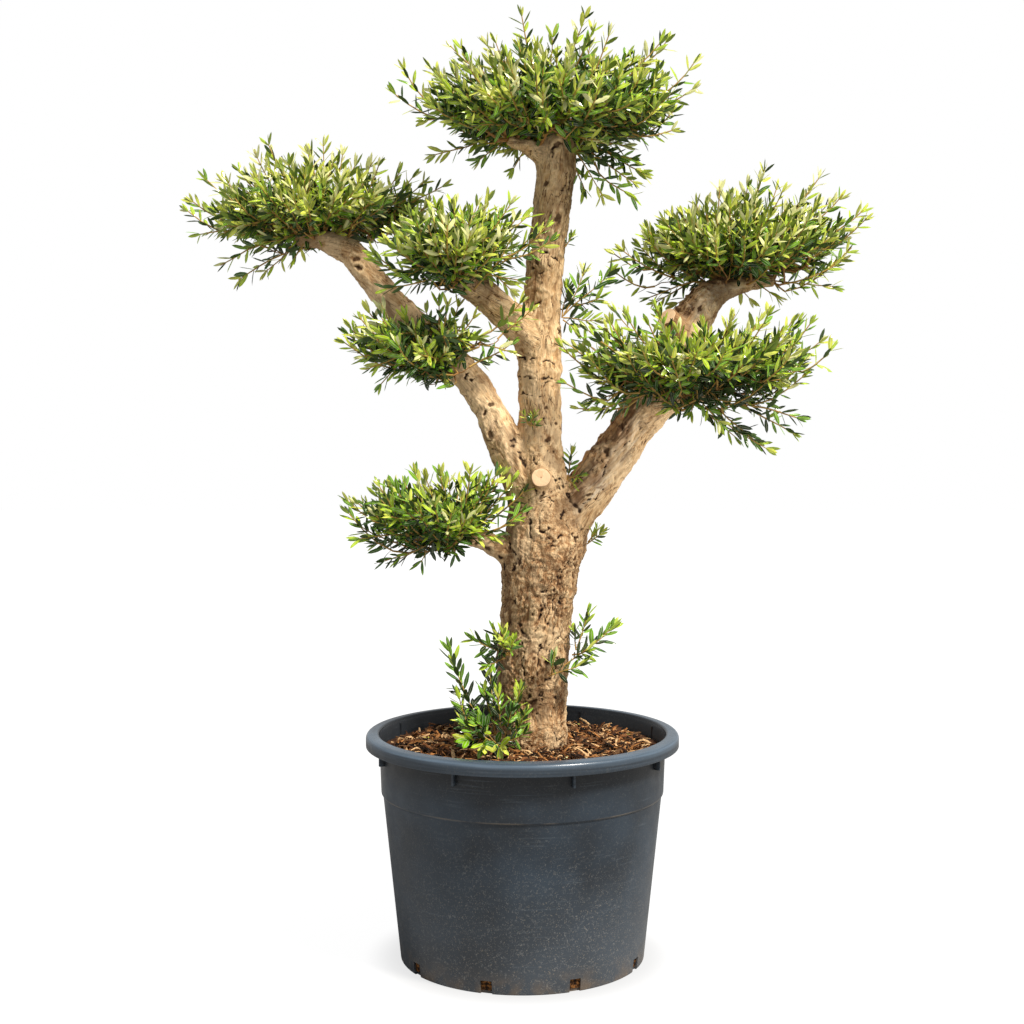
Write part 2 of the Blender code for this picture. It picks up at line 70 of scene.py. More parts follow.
# ---------------------------------------------------------------------- Studio
# A seamless white floor under an even white sky, its glow dimmed round the pot's foot as a painted
# contact shadow. One soft key stands in front to the upper right. A narrow fill, which reaches the wood
# alone and casts no shadow, lifts the bough under the lower right pad. The camera looks slightly down
# from 3.4 m away.
CAMERA_PLACE = (0.0, -3.3939, 1.1411)
CAMERA_PITCH = math.radians(3.579)
CAMERA_LENS = 57.826
FRAME_WIDTH_MM = 36.0
CAMERA_SHIFT = -0.01016
CAMERA_REACH = 100.0
LAMP_TINT = "FFF8EE"
SKY_STRENGTH = 0.46
KEY_STRENGTH = 4.7
KEY_SOFTNESS = math.radians(10.0)
KEY_ELEVATION = math.radians(53.0)
KEY_AZIMUTH = math.radians(49.0)
FILL_PLACE = (2.7, -1.3, 0.85)
FILL_AIM = (0.185, 0.0, 1.09)
FILL_STRENGTH = 230.0
FILL_CONE = math.radians(14.0)
FLOOR_SIZE = 30.0
# The floor's glow, dimmed between these distances from the pot's axis: a painted contact shadow
FLOOR_GLOW = (0.76, 0.96)
FLOOR_PAINTED_SHADOW = (0.25, 0.34)
FLOOR_BOUNCE = "A8A8A8"


def srgb(code):
    """The linear colour of an sRGB hex code."""
    values = [int(code[place:place + 2], 16) / 255 for place in (0, 2, 4)]
    linear = (value / 12.92 if value <= 0.04045 else ((value + 0.055) / 1.055) ** 2.4 for value in values)
    return (*linear, 1.0)


def add_node(tree, kind, inputs=None, **settings):
    """A node of this kind with its settings. Each input is given a value, or the socket that feeds it."""
    node = tree.nodes.new(kind)
    for name, value in settings.items():
        setattr(node, name, value)
    for name, value in (inputs or {}).items():
        socket = node.inputs[name]
        if isinstance(value, bpy.types.NodeSocket):
            tree.links.new(value, socket)
        else:
            socket.default_value = value
    return node


def new_finish(name, **sockets):
    """A material with one Principled shader, whose own sockets hold the values that are even all over: the
    material, its tree, its shader, and the socket of the piece's own coordinates."""
    finish = bpy.data.materials.new(name)
    finish.use_nodes = True
    shader = finish.node_tree.nodes["Principled BSDF"]
    for socket, value in sockets.items():
        shader.inputs[socket.replace("_", " ")].default_value = value
    place = add_node(finish.node_tree, "ShaderNodeTexCoord").outputs["Object"]
    return finish, finish.node_tree, shader, place


def mesh_from(shape, name):
    """The bmesh as a mesh of this name. The bmesh is freed."""
    mesh = bpy.data.meshes.new(name)
    shape.to_mesh(mesh)
    shape.free()
    return mesh


def new_piece(name, mesh, *finishes):
    piece = bpy.data.objects.new(name, mesh)
    bpy.context.scene.collection.objects.link(piece)
    for finish in finishes:
        mesh.materials.append(finish)
    return piece


camera = bpy.data.objects.new("camera", bpy.data.cameras.new("camera"))
camera.location = CAMERA_PLACE
camera.rotation_euler = (math.pi / 2 - CAMERA_PITCH, 0.0, 0.0)
camera.data.sensor_width = FRAME_WIDTH_MM
camera.data.lens = CAMERA_LENS
camera.data.shift_x = CAMERA_SHIFT
camera.data.clip_end = CAMERA_REACH
bpy.context.scene.camera = camera
bpy.context.scene.view_settings.view_transform = "Standard"

key = bpy.data.objects.new("key", bpy.data.lights.new("key", "SUN"))
key.data.energy = KEY_STRENGTH
key.data.angle = KEY_SOFTNESS
key.data.color = srgb(LAMP_TINT)[:3]
key.rotation_euler = (math.pi / 2 - KEY_ELEVATION, 0.0, KEY_AZIMUTH)

fill = bpy.data.objects.new("fill", bpy.data.lights.new("fill", "SPOT"))
fill.data.energy = FILL_STRENGTH
fill.data.color = srgb(LAMP_TINT)[:3]
fill.data.spot_size = FILL_CONE
fill.data.spot_blend = 1.0
fill.data.use_shadow = False
filled = bpy.data.collections.new("filled")
fill.light_linking.receiver_collection = filled
fill.location = FILL_PLACE
fill.rotation_euler = (Vector(FILL_AIM) - Vector(FILL_PLACE)).to_track_quat("-Z", "Y").to_euler()
for stands in (camera, key, fill):
    bpy.context.scene.collection.objects.link(stands)

sky = bpy.data.worlds.new("sky")
sky.use_nodes = True
tree, background = sky.node_tree, sky.node_tree.nodes["Background"]
seen = add_node(tree, "ShaderNodeLightPath").outputs["Is Camera Ray"]
strength = add_node(tree, "ShaderNodeMapRange", {"Value": seen, "To Min": SKY_STRENGTH, "To Max": 1.0})
tree.links.new(strength.outputs["Result"], background.inputs["Strength"])
background.inputs["Color"].default_value = srgb("FFFFFF")
bpy.context.scene.world = sky

shape = bmesh.new()
bmesh.ops.create_grid(shape, x_segments=1, y_segments=1, size=FLOOR_SIZE / 2)
floor_mesh = mesh_from(shape, "studio_floor")
floor_finish, tree, shader, place = new_finish("white_paint", Base_Color=srgb("484848"), Roughness=0.9)
grey = add_node(tree, "ShaderNodeBsdfDiffuse", {"Color": srgb(FLOOR_BOUNCE)}).outputs[0]
shader.inputs["Emission Color"].default_value = srgb("FFFFFF")
# painted contact shadow: the glow is dimmer close to the pot
away = add_node(tree, "ShaderNodeVectorMath", {0: place}, operation="LENGTH").outputs["Value"]
glow = add_node(
    tree, "ShaderNodeMapRange",
    {"Value": away, "From Min": FLOOR_PAINTED_SHADOW[0], "From Max": FLOOR_PAINTED_SHADOW[1], "To Min": FLOOR_GLOW[0],
     "To Max": FLOOR_GLOW[1]},
    interpolation_type="SMOOTHSTEP",
)
tree.links.new(glow.outputs["Result"], shader.inputs["Emission Strength"])
seen = add_node(tree, "ShaderNodeLightPath").outputs["Is Camera Ray"]
both = add_node(tree, "ShaderNodeMixShader", {0: seen, 1: grey, 2: shader.outputs[0]}).outputs[0]
tree.links.new(both, tree.nodes["Material Output"].inputs["Surface"])
new_piece("studio_floor", floor_mesh, floor_finish)

# ------------------------------------------------------------------------- Pot
# A 110 litre container, injection moulded in recycled black polyethylene, which weathers to a slate grey.
# Its wall widens in one step, and a rolled rim with an open skirt stiffens the mouth. Dust and fine fibres
# cling to it.
RIM_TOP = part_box("pot")[1].z
SKIRT_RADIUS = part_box("pot")[1].x
SKIRT_BOTTOM = 0.4455
SKIRT_THICKNESS = 0.004
MOUTH_RADIUS = 0.2975
NECK_RADIUS = 0.2975
NECK_HEIGHT = 0.4628
STEP_HEIGHT = 0.345
STEP_RISE = 0.0035
STEP_TOP = STEP_HEIGHT + STEP_RISE
STEP_LOWER_RADIUS = 0.2897
STEP_UPPER_RADIUS = 0.2932
STEP_LOWER_ROUND = (0.0008, 0.0006)
STEP_UPPER_ROUND = (0.0004, 0.0030)
FOOT_RADIUS = 0.2547
FOOT_ROUND = 0.003
POT_WALL = 0.004
POT_FLOOR = 0.006
RIM_OUTER_ROUND = 0.009
RIM_INNER_ROUND = 0.005
RIM_CROWN = 0.0012
EDGE_ROUND = 0.0012
POT_STEPS = 240
NOTCH_COUNT = 9
NOTCH_FIRST_ANGLE = math.radians(23.9)
NOTCH_WIDTH = 0.0235
NOTCH_HEIGHT = 0.027
NOTCH_DEPTH = 0.007


def arc(centre, radius, start, end, count):
    """Points along an arc in the profile's plane, with angles in degrees from outwards towards upwards."""
    angles = (math.radians(start + (end - start) * part / count) for part in range(count + 1))
    out, up = centre
    return [(out + radius * math.cos(angle), up + radius * math.sin(angle)) for angle in angles]


def turned_mesh(name, profile, steps):
    """A closed profile of (radius, height) points, outer side downwards, turned about the pot's axis."""
    mesh = bpy.data.meshes.new(name)
    links = [(start, (start + 1) % len(profile)) for start in range(len(profile))]
    links = [(start, end) for start, end in links if profile[start][0] > 0.0 or profile[end][0] > 0.0]
    mesh.from_pydata([(radius, 0.0, height) for radius, height in profile], links, [])
    holder = new_piece(name + "_profile", mesh)
    screw = holder.modifiers.new("Turn", "SCREW")
    screw.steps = screw.render_steps = steps
    screw.use_merge_vertices = True
    screw.merge_threshold = 0.00005
    return plain_mesh(holder)


def plain_mesh(holder):
    """The evaluated shape of an object as a mesh of its own. The object is removed."""
    bpy.context.view_layer.update()
    mesh = bpy.data.meshes.new_from_object(holder.evaluated_get(bpy.context.evaluated_depsgraph_get()))
    bpy.data.objects.remove(holder)
    return mesh


def smooth_with_edges(mesh, degrees):
    mesh.shade_smooth()
    mesh.set_sharp_from_angle(angle=math.radians(degrees))


def wall_radius(height):
    share = height / STEP_HEIGHT
    return FOOT_RADIUS + (STEP_LOWER_RADIUS - FOOT_RADIUS) * share


def mask(tree, source, low, high, to_low=0.0, to_high=1.0, cells=None, detail=3.0, warp=0.0, lines=False):
    """A source taken from between two levels to between two others. With cells, the source is noise of this
    many cells a metre at the places given. With lines, it is how far that noise is from its middle."""
    if cells:
        looks = {"Vector": source, "Scale": cells, "Detail": detail, "Distortion": warp}
        source = add_node(tree, "ShaderNodeTexNoise", looks).outputs["Fac"]
    if lines:
        source = add_node(tree, "ShaderNodeMath", {0: source, 1: 0.5}, operation="SUBTRACT").outputs[0]
        source = add_node(tree, "ShaderNodeMath", {0: source}, operation="ABSOLUTE").outputs[0]
    levels = {"Value": source, "From Min": low, "From Max": high, "To Min": to_low, "To Max": to_high}
    return add_node(tree, "ShaderNodeMapRange", levels).outputs["Result"]


def overlap(tree, first, *others):
    """Where all of these masks lie: their product, with any plain numbers among them."""
    for other in others:
        first = add_node(tree, "ShaderNodeMath", {0: first, 1: other}, operation="MULTIPLY").outputs[0]
    return first


def coat(tree, under, over, *shares):
    """A colour with another laid over it, as far as these masks and numbers allow."""
    over = srgb(over) if isinstance(over, str) else over
    share = overlap(tree, *shares)
    return add_node(tree, "ShaderNodeMix", {0: share, 6: under, 7: over}, data_type="RGBA").outputs[2]


def moulded_plastic():
    """Weathered polyethylene: slate grey with a dull sheen, scuffs, and more fibres and dust lower down."""
    finish, tree, shader, place = new_finish("moulded_polyethylene", IOR=1.5, Specular_IOR_Level=0.4)
    height = add_node(tree, "ShaderNodeSeparateXYZ", {"Vector": place}).outputs["Z"]
    level = add_node(tree, "ShaderNodeVectorMath", {0: place, 1: (1.0, 1.0, 0.0)}, operation="MULTIPLY")
    from_axis = add_node(tree, "ShaderNodeVectorMath", {0: level.outputs["Vector"]}, operation="LENGTH")
    from_axis = from_axis.outputs["Value"]
    from_ledge = add_node(tree, "ShaderNodeMath", {0: height, 1: STEP_TOP}, operation="SUBTRACT")
    from_ledge = add_node(tree, "ShaderNodeMath", {0: from_ledge.outputs[0]}, operation="ABSOLUTE")
    scuffed, streaked = (
        add_node(tree, "ShaderNodeMapping", {"Vector": place, "Scale": scale}).outputs["Vector"]
        for scale in ((9.0, 9.0, 260.0), (5.0, 5.0, 190.0))
    )
    # the moulding itself: cloudy slate grey, with painted shade, blacker, under the rim and inside the mouth
    colour = coat(tree, srgb("20272F"), "313E4B", mask(tree, place, 0.3, 0.7, cells=7.0, detail=4.0))
    colour = coat(tree, colour, "161A1F", mask(tree, height, 0.370, 0.425, 0.0, 0.80))
    # bluer and paler where the rim is polished, partly by handling and partly as a painted highlight, and
    # scuffs that run round the pot, pale and thin
    colour = coat(
        tree, colour, "637587", mask(tree, from_axis, MOUTH_RADIUS + 0.001, MOUTH_RADIUS + 0.006),
        mask(tree, height, RIM_TOP - 0.016, RIM_TOP - 0.006, 0.30, 1.0),
        mask(tree, streaked, 0.3, 0.7, 0.35, 1.0, cells=1.0, detail=4.0),
    )
    colour = coat(
        tree, colour, "8C9AA6", mask(tree, scuffed, 0.60, 0.70, cells=1.0, detail=2.0),
        mask(tree, place, 0.48, 0.62, cells=9.0, detail=2.0), 0.09,
    )
    # a haze of dust that greys the lower wall, thickest on one side
    haze = mask(tree, place, 0.35, 0.65, 0.4, 1.0, cells=3.0, detail=4.0)
    colour = coat(tree, colour, "6A6E73", mask(tree, height, 0.0, 0.26, 0.34, 0.0), haze)
    # broken fibres 5 to 10 mm long and half a millimetre wide, and specks of dust a millimetre or two
    # across
    lower = mask(tree, height, 0.0, 0.36, 1.0, 0.16)
    patchy = mask(tree, place, 0.36, 0.62, 0.70, 1.0, cells=5.0)
    fibres = overlap(
        tree, mask(tree, place, 0.010, 0.034, 1.0, 0.0, cells=115.0, detail=1.0, warp=1.6, lines=True),
        mask(tree, place, 0.50, 0.56, cells=150.0, detail=1.0), lower, patchy,
    )
    specks = mask(tree, place, 0.70, 0.78, cells=420.0, detail=0.0)
    colour = coat(tree, colour, "9C9C99", fibres, 0.52)
    colour = coat(tree, colour, "A89C88", specks, lower, patchy, 0.48)
    # a film of tan dust at the foot, and in the step's ledge
    foot_film = mask(tree, place, 0.42, 0.70, cells=28.0, detail=5.0)
    ledge_film = mask(tree, place, 0.35, 0.60, cells=12.0, detail=2.0)
    colour = coat(tree, colour, "7C6850", foot_film, mask(tree, height, 0.0, 0.055, 1.0, 0.0), 0.60)
    near_ledge = mask(tree, from_ledge.outputs[0], 0.0006, 0.0022, 0.55, 0.0)
    colour = coat(tree, colour, "857A6B", ledge_film, near_ledge)
    tree.links.new(colour, shader.inputs["Base Color"])
    # the rim is handled smooth, and the fibres stand a little proud of an orange-peel skin
    matt = mask(tree, place, 0.3, 0.7, 0.40, 0.50, cells=40.0)
    matt = add_node(tree, "ShaderNodeMath", {0: fibres, 1: 0.3, 2: matt}, operation="MULTIPLY_ADD")
    handled = mask(tree, height, NECK_HEIGHT, NECK_HEIGHT + 0.006, 0.0, -0.24)
    rough = add_node(tree, "ShaderNodeMath", {0: matt.outputs[0], 1: handled}, operation="ADD")
    tree.links.new(rough.outputs[0], shader.inputs["Roughness"])
    skin = add_node(tree, "ShaderNodeTexNoise", {"Vector": place, "Scale": 700.0, "Detail": 2.0}).outputs[0]
    peel = add_node(tree, "ShaderNodeBump", {"Height": skin, "Strength": 0.25, "Distance": 0.0004})
    raised = add_node(
        tree, "ShaderNodeBump",
        {"Height": fibres, "Strength": 0.5, "Distance": 0.0005, "Normal": peel.outputs["Normal"]},
    )
    tree.links.new(raised.outputs["Normal"], shader.inputs["Normal"])
    return finish


plastic = moulded_plastic()
outer_corner = (SKIRT_RADIUS - RIM_OUTER_ROUND, RIM_TOP - RIM_OUTER_ROUND - RIM_CROWN)
inner_corner = (MOUTH_RADIUS + RIM_INNER_ROUND, RIM_TOP - RIM_INNER_ROUND)
pot_profile = (
    arc(outer_corner, RIM_OUTER_ROUND, 90, 0, 8)
    + arc((SKIRT_RADIUS - EDGE_ROUND, SKIRT_BOTTOM + EDGE_ROUND), EDGE_ROUND, 0, -90, 3)
    + arc((SKIRT_RADIUS - SKIRT_THICKNESS + EDGE_ROUND, SKIRT_BOTTOM + EDGE_ROUND), EDGE_ROUND, 270, 180, 3)
    + [(SKIRT_RADIUS - SKIRT_THICKNESS, NECK_HEIGHT - EDGE_ROUND)]
    + [(SKIRT_RADIUS - SKIRT_THICKNESS - EDGE_ROUND, NECK_HEIGHT)]
    + [(NECK_RADIUS + EDGE_ROUND, NECK_HEIGHT), (NECK_RADIUS, NECK_HEIGHT - EDGE_ROUND)]
    + [(STEP_UPPER_RADIUS + STEP_UPPER_ROUND[0], STEP_TOP + STEP_UPPER_ROUND[1])]
    + [(STEP_UPPER_RADIUS, STEP_TOP + STEP_LOWER_ROUND[1])]
    + [(STEP_UPPER_RADIUS - STEP_LOWER_ROUND[0], STEP_TOP)]
    + [(STEP_LOWER_RADIUS + STEP_LOWER_ROUND[0], STEP_HEIGHT)]
    + [(STEP_LOWER_RADIUS, STEP_HEIGHT - STEP_LOWER_ROUND[1])]
    + arc((FOOT_RADIUS - FOOT_ROUND, FOOT_ROUND), FOOT_ROUND, 0, -90, 4)
    + [(0.0, 0.0), (0.0, POT_FLOOR)]
    + [(wall_radius(POT_FLOOR) - POT_WALL, POT_FLOOR), (STEP_LOWER_RADIUS - POT_WALL, STEP_HEIGHT)]
    + [(STEP_UPPER_RADIUS - POT_WALL, STEP_TOP), (NECK_RADIUS - POT_WALL, NECK_HEIGHT)]
    + arc(inner_corner, RIM_INNER_ROUND, 180, 100, 5)
)
pot_mesh = turned_mesh("pot_shell", pot_profile, POT_STEPS)
shape = bmesh.new()
for index in range(NOTCH_COUNT):
    angle = NOTCH_FIRST_ANGLE + index * math.tau / NOTCH_COUNT
    place = Matrix.Rotation(angle, 4, "Z") @ Matrix.Translation((0.0, -FOOT_RADIUS, 0.0))
    size = Matrix.Diagonal((NOTCH_WIDTH, 2 * NOTCH_DEPTH, 2 * NOTCH_HEIGHT, 1.0))
    bmesh.ops.create_cube(shape, size=1.0, matrix=place @ size)
notches = new_piece("notches", mesh_from(shape, "notches"))
pot_holder = new_piece("pot_holder", pot_mesh)
cut = pot_holder.modifiers.new("Notches", "BOOLEAN")
cut.operation = "DIFFERENCE"
cut.object = notches
pot_mesh = plain_mesh(pot_holder)
bpy.data.objects.remove(notches)
smooth_with_edges(pot_mesh, 38)
pot = new_piece("pot_moulding", pot_mesh, plastic)
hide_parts("pot")
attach(pot, "root")

# Brackets: moulded webs under the rim, which tie the skirt to the wall and stop stacked pots from jamming.
# Eight stand at even steps round the neck.
BRACKET_COUNT = 8
BRACKET_FIRST_ANGLE = math.radians(19.0)
BRACKET_THICKNESS = 0.005
BRACKET_REACH = 0.3075
BRACKET_FOOT = 0.418
BRACKET_BITE = 0.001
BRACKET_EDGE = 0.0008


def new_tree(name, **kinds):
    """A Geometry Nodes tree with an input of each kind: the tree, its inputs, and their identifiers."""
    tree = bpy.data.node_groups.new(name, "GeometryNodeTree")
    tree.interface.new_socket("Geometry", in_out="INPUT", socket_type="NodeSocketGeometry")
    tree.interface.new_socket("Geometry", in_out="OUTPUT", socket_type="NodeSocketGeometry")
    identifiers = {}
    for label, kind in kinds.items():
        socket = tree.interface.new_socket(label, in_out="INPUT", socket_type="NodeSocket" + kind)
        identifiers[label] = socket.identifier
    return tree, tree.nodes.new("NodeGroupInput").outputs, identifiers


def grown_mesh(tree, last, holder, identifiers, **values):
    """The plain mesh that the tree, ended at this socket, makes of the holder with these inputs."""
    end = tree.nodes.new("NodeGroupOutput")
    tree.links.new(last, end.inputs[0])
    modifier = holder.modifiers.new("Nodes", "NODES")
    modifier.node_group = tree
    for label, value in values.items():
        modifier[identifiers[label]] = value
    return plain_mesh(holder)


bracket_height = NECK_HEIGHT + BRACKET_BITE - BRACKET_FOOT
bracket_root = STEP_UPPER_RADIUS - BRACKET_BITE
shape = bmesh.new()
middle = (0.0, -(BRACKET_REACH + bracket_root) / 2, BRACKET_FOOT + bracket_height / 2)
size = Matrix.Diagonal((BRACKET_THICKNESS, BRACKET_REACH - bracket_root, bracket_height, 1.0))
bmesh.ops.create_cube(shape, size=1.0, matrix=Matrix.Translation(middle) @ size)
bmesh.ops.bevel(shape, geom=shape.edges, offset=BRACKET_EDGE, segments=2, affect="EDGES", profile=0.5)
bracket = new_piece("bracket", mesh_from(shape, "bracket"))

tree, given, ids = new_tree(
    "brackets_round_the_neck", Bracket="Object", Count="Int", First_angle="Float", Finish="Material"
)
step_angle = add_node(tree, "ShaderNodeMath", {0: math.tau, 1: given["Count"]}, operation="DIVIDE")
turn = add_node(
    tree, "ShaderNodeMath",
    {0: add_node(tree, "GeometryNodeInputIndex").outputs[0], 1: step_angle.outputs[0],
     2: given["First_angle"]},
    operation="MULTIPLY_ADD",
).outputs[0]
turns = add_node(tree, "FunctionNodeEulerToRotation", {
    "Euler": add_node(tree, "ShaderNodeCombineXYZ", {"Z": turn}).outputs[0],
}).outputs[0]
spots = add_node(tree, "GeometryNodePoints", {"Count": given["Count"]}).outputs[0]
webs = add_node(tree, "GeometryNodeObjectInfo", {"Object": given["Bracket"]}).outputs["Geometry"]
placed = add_node(
    tree, "GeometryNodeInstanceOnPoints", {"Points": spots, "Instance": webs, "Rotation": turns}
).outputs[0]
real = add_node(tree, "GeometryNodeRealizeInstances", {"Geometry": placed}).outputs[0]
finished = add_node(
    tree, "GeometryNodeSetMaterial", {"Geometry": real, "Material": given["Finish"]}
).outputs[0]
brackets = new_piece("rim_brackets", grown_mesh(
    tree, finished, new_piece("holder", bpy.data.meshes.new("holder")), ids,
    Bracket=bracket, Count=BRACKET_COUNT, First_angle=BRACKET_FIRST_ANGLE, Finish=plastic,
))
bpy.data.objects.remove(bracket)
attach(brackets, "root")

# ------------------------------------------------------------------- Root ball
# Loamy potting soil bound by fine roots, rusty brown. It shows only through the drainage notches at the
# foot.


def potting_soil():
    """Damp rusty loam: crumbs a few millimetres across, no sheen."""
    finish, tree, shader, place = new_finish("potting_loam", Roughness=0.95, Specular_IOR_Level=0.2)
    crumbs = add_node(tree, "ShaderNodeTexNoise", {"Vector": place, "Scale": 180.0, "Detail": 4.0})
    crumbs = crumbs.outputs["Fac"]
    ramp = add_node(tree, "ShaderNodeValToRGB", {"Fac": crumbs})
    for position, code in ((0.38, "1A0F08"), (0.50, "452C17"), (0.62, "85592E")):
        stop = ramp.color_ramp.elements.new(position)
        stop.color = srgb(code)
    for spare in (ramp.color_ramp.elements[-1], ramp.color_ramp.elements[0]):
        ramp.color_ramp.elements.remove(spare)
    tree.links.new(ramp.outputs["Color"], shader.inputs["Base Color"])
    rough = add_node(tree, "ShaderNodeBump", {"Height": crumbs, "Strength": 1.0, "Distance": 0.004})
    tree.links.new(rough.outputs["Normal"], shader.inputs["Normal"])
    return finish


root_ball = frame["nodes"]["root_ball"]
root_ball.data.materials.clear()
root_ball.data.materials.append(potting_soil())

# ----------------------------------------------------------------------- Mulch
# A top dressing of shredded conifer bark, about 40 mm deep, strewn by hand: flat torn strips up to 60 mm
# long, from nearly black to fresh tan, over a bed of fines.
MULCH_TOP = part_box("mulch")[1].z
MULCH_RADIUS = 0.2915
STREWN_RADIUS = 0.270
BED_DROP = 0.006
BED_RINGS = 44
BED_SIDES = 220
BED_LUMP = 0.006
CHIP_FORMS = 9
CHIP_SEGMENTS = 4
CHIPS_PER_M2 = 19000.0
CHIP_TINTS = ("20140C", "4A2D19", "7C4F2D", "AE7844", "DAB382", "66492F")
CHIP_SEED = 12


def mulch_height(x, y):
    """The bed's surface: lumps a few centimetres across, and a slight fall towards the pot's wall."""
    place = Vector((x, y, 0.0))
    lumps = noise.noise(place * 28.0) * 0.6 + noise.noise(place * 75.0) * 0.4
    fall = 0.004 * (place.length / MULCH_RADIUS) ** 4
    return MULCH_TOP - BED_DROP + BED_LUMP * lumps - fall


def shredded_bark(name, code):
    """Shredded bark of one tint: matt, and mottled every few millimetres."""
    finish, tree, shader, place = new_finish(name, Roughness=0.88, Specular_IOR_Level=0.25)
    spread = mask(tree, place, 0.35, 0.65, 0.55, 1.25, cells=260.0)
    tint = add_node(tree, "ShaderNodeVectorMath", {0: srgb(code)[:3], "Scale": spread}, operation="SCALE")
    tree.links.new(tint.outputs["Vector"], shader.inputs["Base Color"])
    return finish


def strewn_bed():
    """The bed of fines: a disc of rings and spokes that follows the mulch's lumps."""
    shape = bmesh.new()
    rings = []
    for ring in range(1, BED_RINGS + 1):
        radius = MULCH_RADIUS * ring / BED_RINGS
        angles = (math.tau * side / BED_SIDES for side in range(BED_SIDES))
        spots = ((radius * math.cos(angle), radius * math.sin(angle)) for angle in angles)
        rings.append([shape.verts.new((x, y, mulch_height(x, y))) for x, y in spots])
    middle = shape.verts.new((0.0, 0.0, mulch_height(0.0, 0.0)))
    for side in range(BED_SIDES):
        after = (side + 1) % BED_SIDES
        shape.faces.new((middle, rings[0][side], rings[0][after]))
        for inner, outer in zip(rings, rings[1:]):
            shape.faces.new((inner[side], outer[side], outer[after], inner[after]))
    return mesh_from(shape, "mulch_bed")


bed_mesh = strewn_bed()
bed_mesh.shade_smooth()
chip_tints = [shredded_bark(f"shredded_bark_{number + 1}", code) for number, code in enumerate(CHIP_TINTS)]
bed = new_piece("mulch_bed", bed_mesh, chip_tints[1])

# The strips: nine torn forms, each strewn with its own turn and size


def torn_strip(name, dice):
    """One flat strip of bark along X, torn narrow at its ends, bowed and uneven."""
    length = dice.uniform(0.020, 0.060)
    width = dice.uniform(0.0028, 0.0070)
    thickness = dice.uniform(0.0008, 0.0018)
    bend = dice.uniform(-0.004, 0.009)
    shape = bmesh.new()
    sections = []
    for part in range(CHIP_SEGMENTS + 1):
        along = part / CHIP_SEGMENTS
        half = width / 2 * (math.sin(math.pi * (0.12 + 0.76 * along)) ** 0.6) * dice.uniform(0.65, 1.15)
        sway = dice.uniform(-0.20, 0.20) * width
        lift = bend * math.sin(math.pi * along) + dice.uniform(-0.3, 0.3) * thickness
        corners = ((-half, -0.5), (half, -0.5), (half * 0.85, 0.5), (-half * 0.85, 0.5))
        sections.append([
            shape.verts.new(((along - 0.5) * length, across + sway, up * thickness + lift))
            for across, up in corners
        ])
    for near, far in zip(sections, sections[1:]):
        for side in range(4):
            after = (side + 1) % 4
            shape.faces.new((near[side], near[after], far[after], far[side]))
    shape.faces.new(sections[0][::-1])
    shape.faces.new(sections[-1])
    bmesh.ops.recalc_face_normals(shape, faces=shape.faces)
    return mesh_from(shape, name)


def form_set(name, meshes):
    """A collection with an object for each form, for a tree of nodes to pick from."""
    forms = bpy.data.collections.new(name)
    bpy.context.scene.collection.children.link(forms)
    for mesh in meshes:
        forms.objects.link(bpy.data.objects.new(mesh.name, mesh))
    return forms


def clear_away(forms):
    for form in list(forms.objects):
        bpy.data.objects.remove(form)
    bpy.data.collections.remove(forms)


def dealt_finishes(tree, last, dealt, finishes):
    """Every face given the finish whose number it was dealt."""
    for number, finish in enumerate(finishes):
        same = add_node(
            tree, "FunctionNodeCompare", {2: dealt, 3: number}, data_type="INT", operation="EQUAL"
        ).outputs[0]
        chosen = {"Geometry": last, "Selection": same, "Material": finish}
        last = add_node(tree, "GeometryNodeSetMaterial", chosen).outputs[0]
    return last


def laid_out(tree, forms, points, choice, turn, size):
    """One of the forms on every point, picked by its number, with its own turn and size."""
    forms = {"Collection": forms, "Separate Children": True, "Reset Children": True}
    forms = add_node(tree, "GeometryNodeCollectionInfo", forms).outputs[0]
    return add_node(tree, "GeometryNodeInstanceOnPoints", {
        "Points": points, "Instance": forms, "Pick Instance": True, "Instance Index": choice,
        "Rotation": turn, "Scale": size,
    }).outputs[0]


dice = random.Random(CHIP_SEED)
chip_forms = form_set("chip_forms", [torn_strip(f"chip_{form + 1}", dice) for form in range(CHIP_FORMS)])
tree, given, ids = new_tree(
    "strewn_chips", Forms="Collection", Density="Float", Seed="Int",
    **{f"Tint_{number + 1}": "Material" for number in range(len(CHIP_TINTS))},
)
spread = add_node(
    tree, "GeometryNodeDistributePointsOnFaces",
    {"Mesh": given["Geometry"], "Density": given["Density"], "Seed": given["Seed"]},
)
tilt = add_node(
    tree, "FunctionNodeRandomValue", {0: (-0.75, -0.45, 0.0), 1: (0.75, 0.45, math.tau), "Seed": 1},
    data_type="FLOAT_VECTOR",
).outputs[0]
size = add_node(
    tree, "FunctionNodeRandomValue", {2: 0.55, 3: 1.35, "Seed": 2}, data_type="FLOAT"
).outputs[1]
turned = add_node(tree, "FunctionNodeRotateRotation", {
    "Rotation": spread.outputs["Rotation"],
    "Rotate By": add_node(tree, "FunctionNodeEulerToRotation", {"Euler": tilt}).outputs[0],
}).outputs[0]
choice = add_node(
    tree, "FunctionNodeRandomValue", {4: 0, 5: CHIP_FORMS - 1, "Seed": 3}, data_type="INT"
).outputs[2]
strewn = laid_out(tree, given["Forms"], spread.outputs["Points"], choice, turned, size)
dealt = add_node(
    tree, "FunctionNodeRandomValue", {4: 0, 5: len(CHIP_TINTS) - 1, "Seed": 4}, data_type="INT"
).outputs[2]
marked = add_node(
    tree, "GeometryNodeStoreNamedAttribute", {"Geometry": strewn, "Name": "tint", "Value": dealt},
    data_type="INT", domain="INSTANCE",
).outputs[0]
last = add_node(tree, "GeometryNodeRealizeInstances", {"Geometry": marked}).outputs[0]
tint_of = add_node(tree, "GeometryNodeInputNamedAttribute", {"Name": "tint"}, data_type="INT").outputs[0]
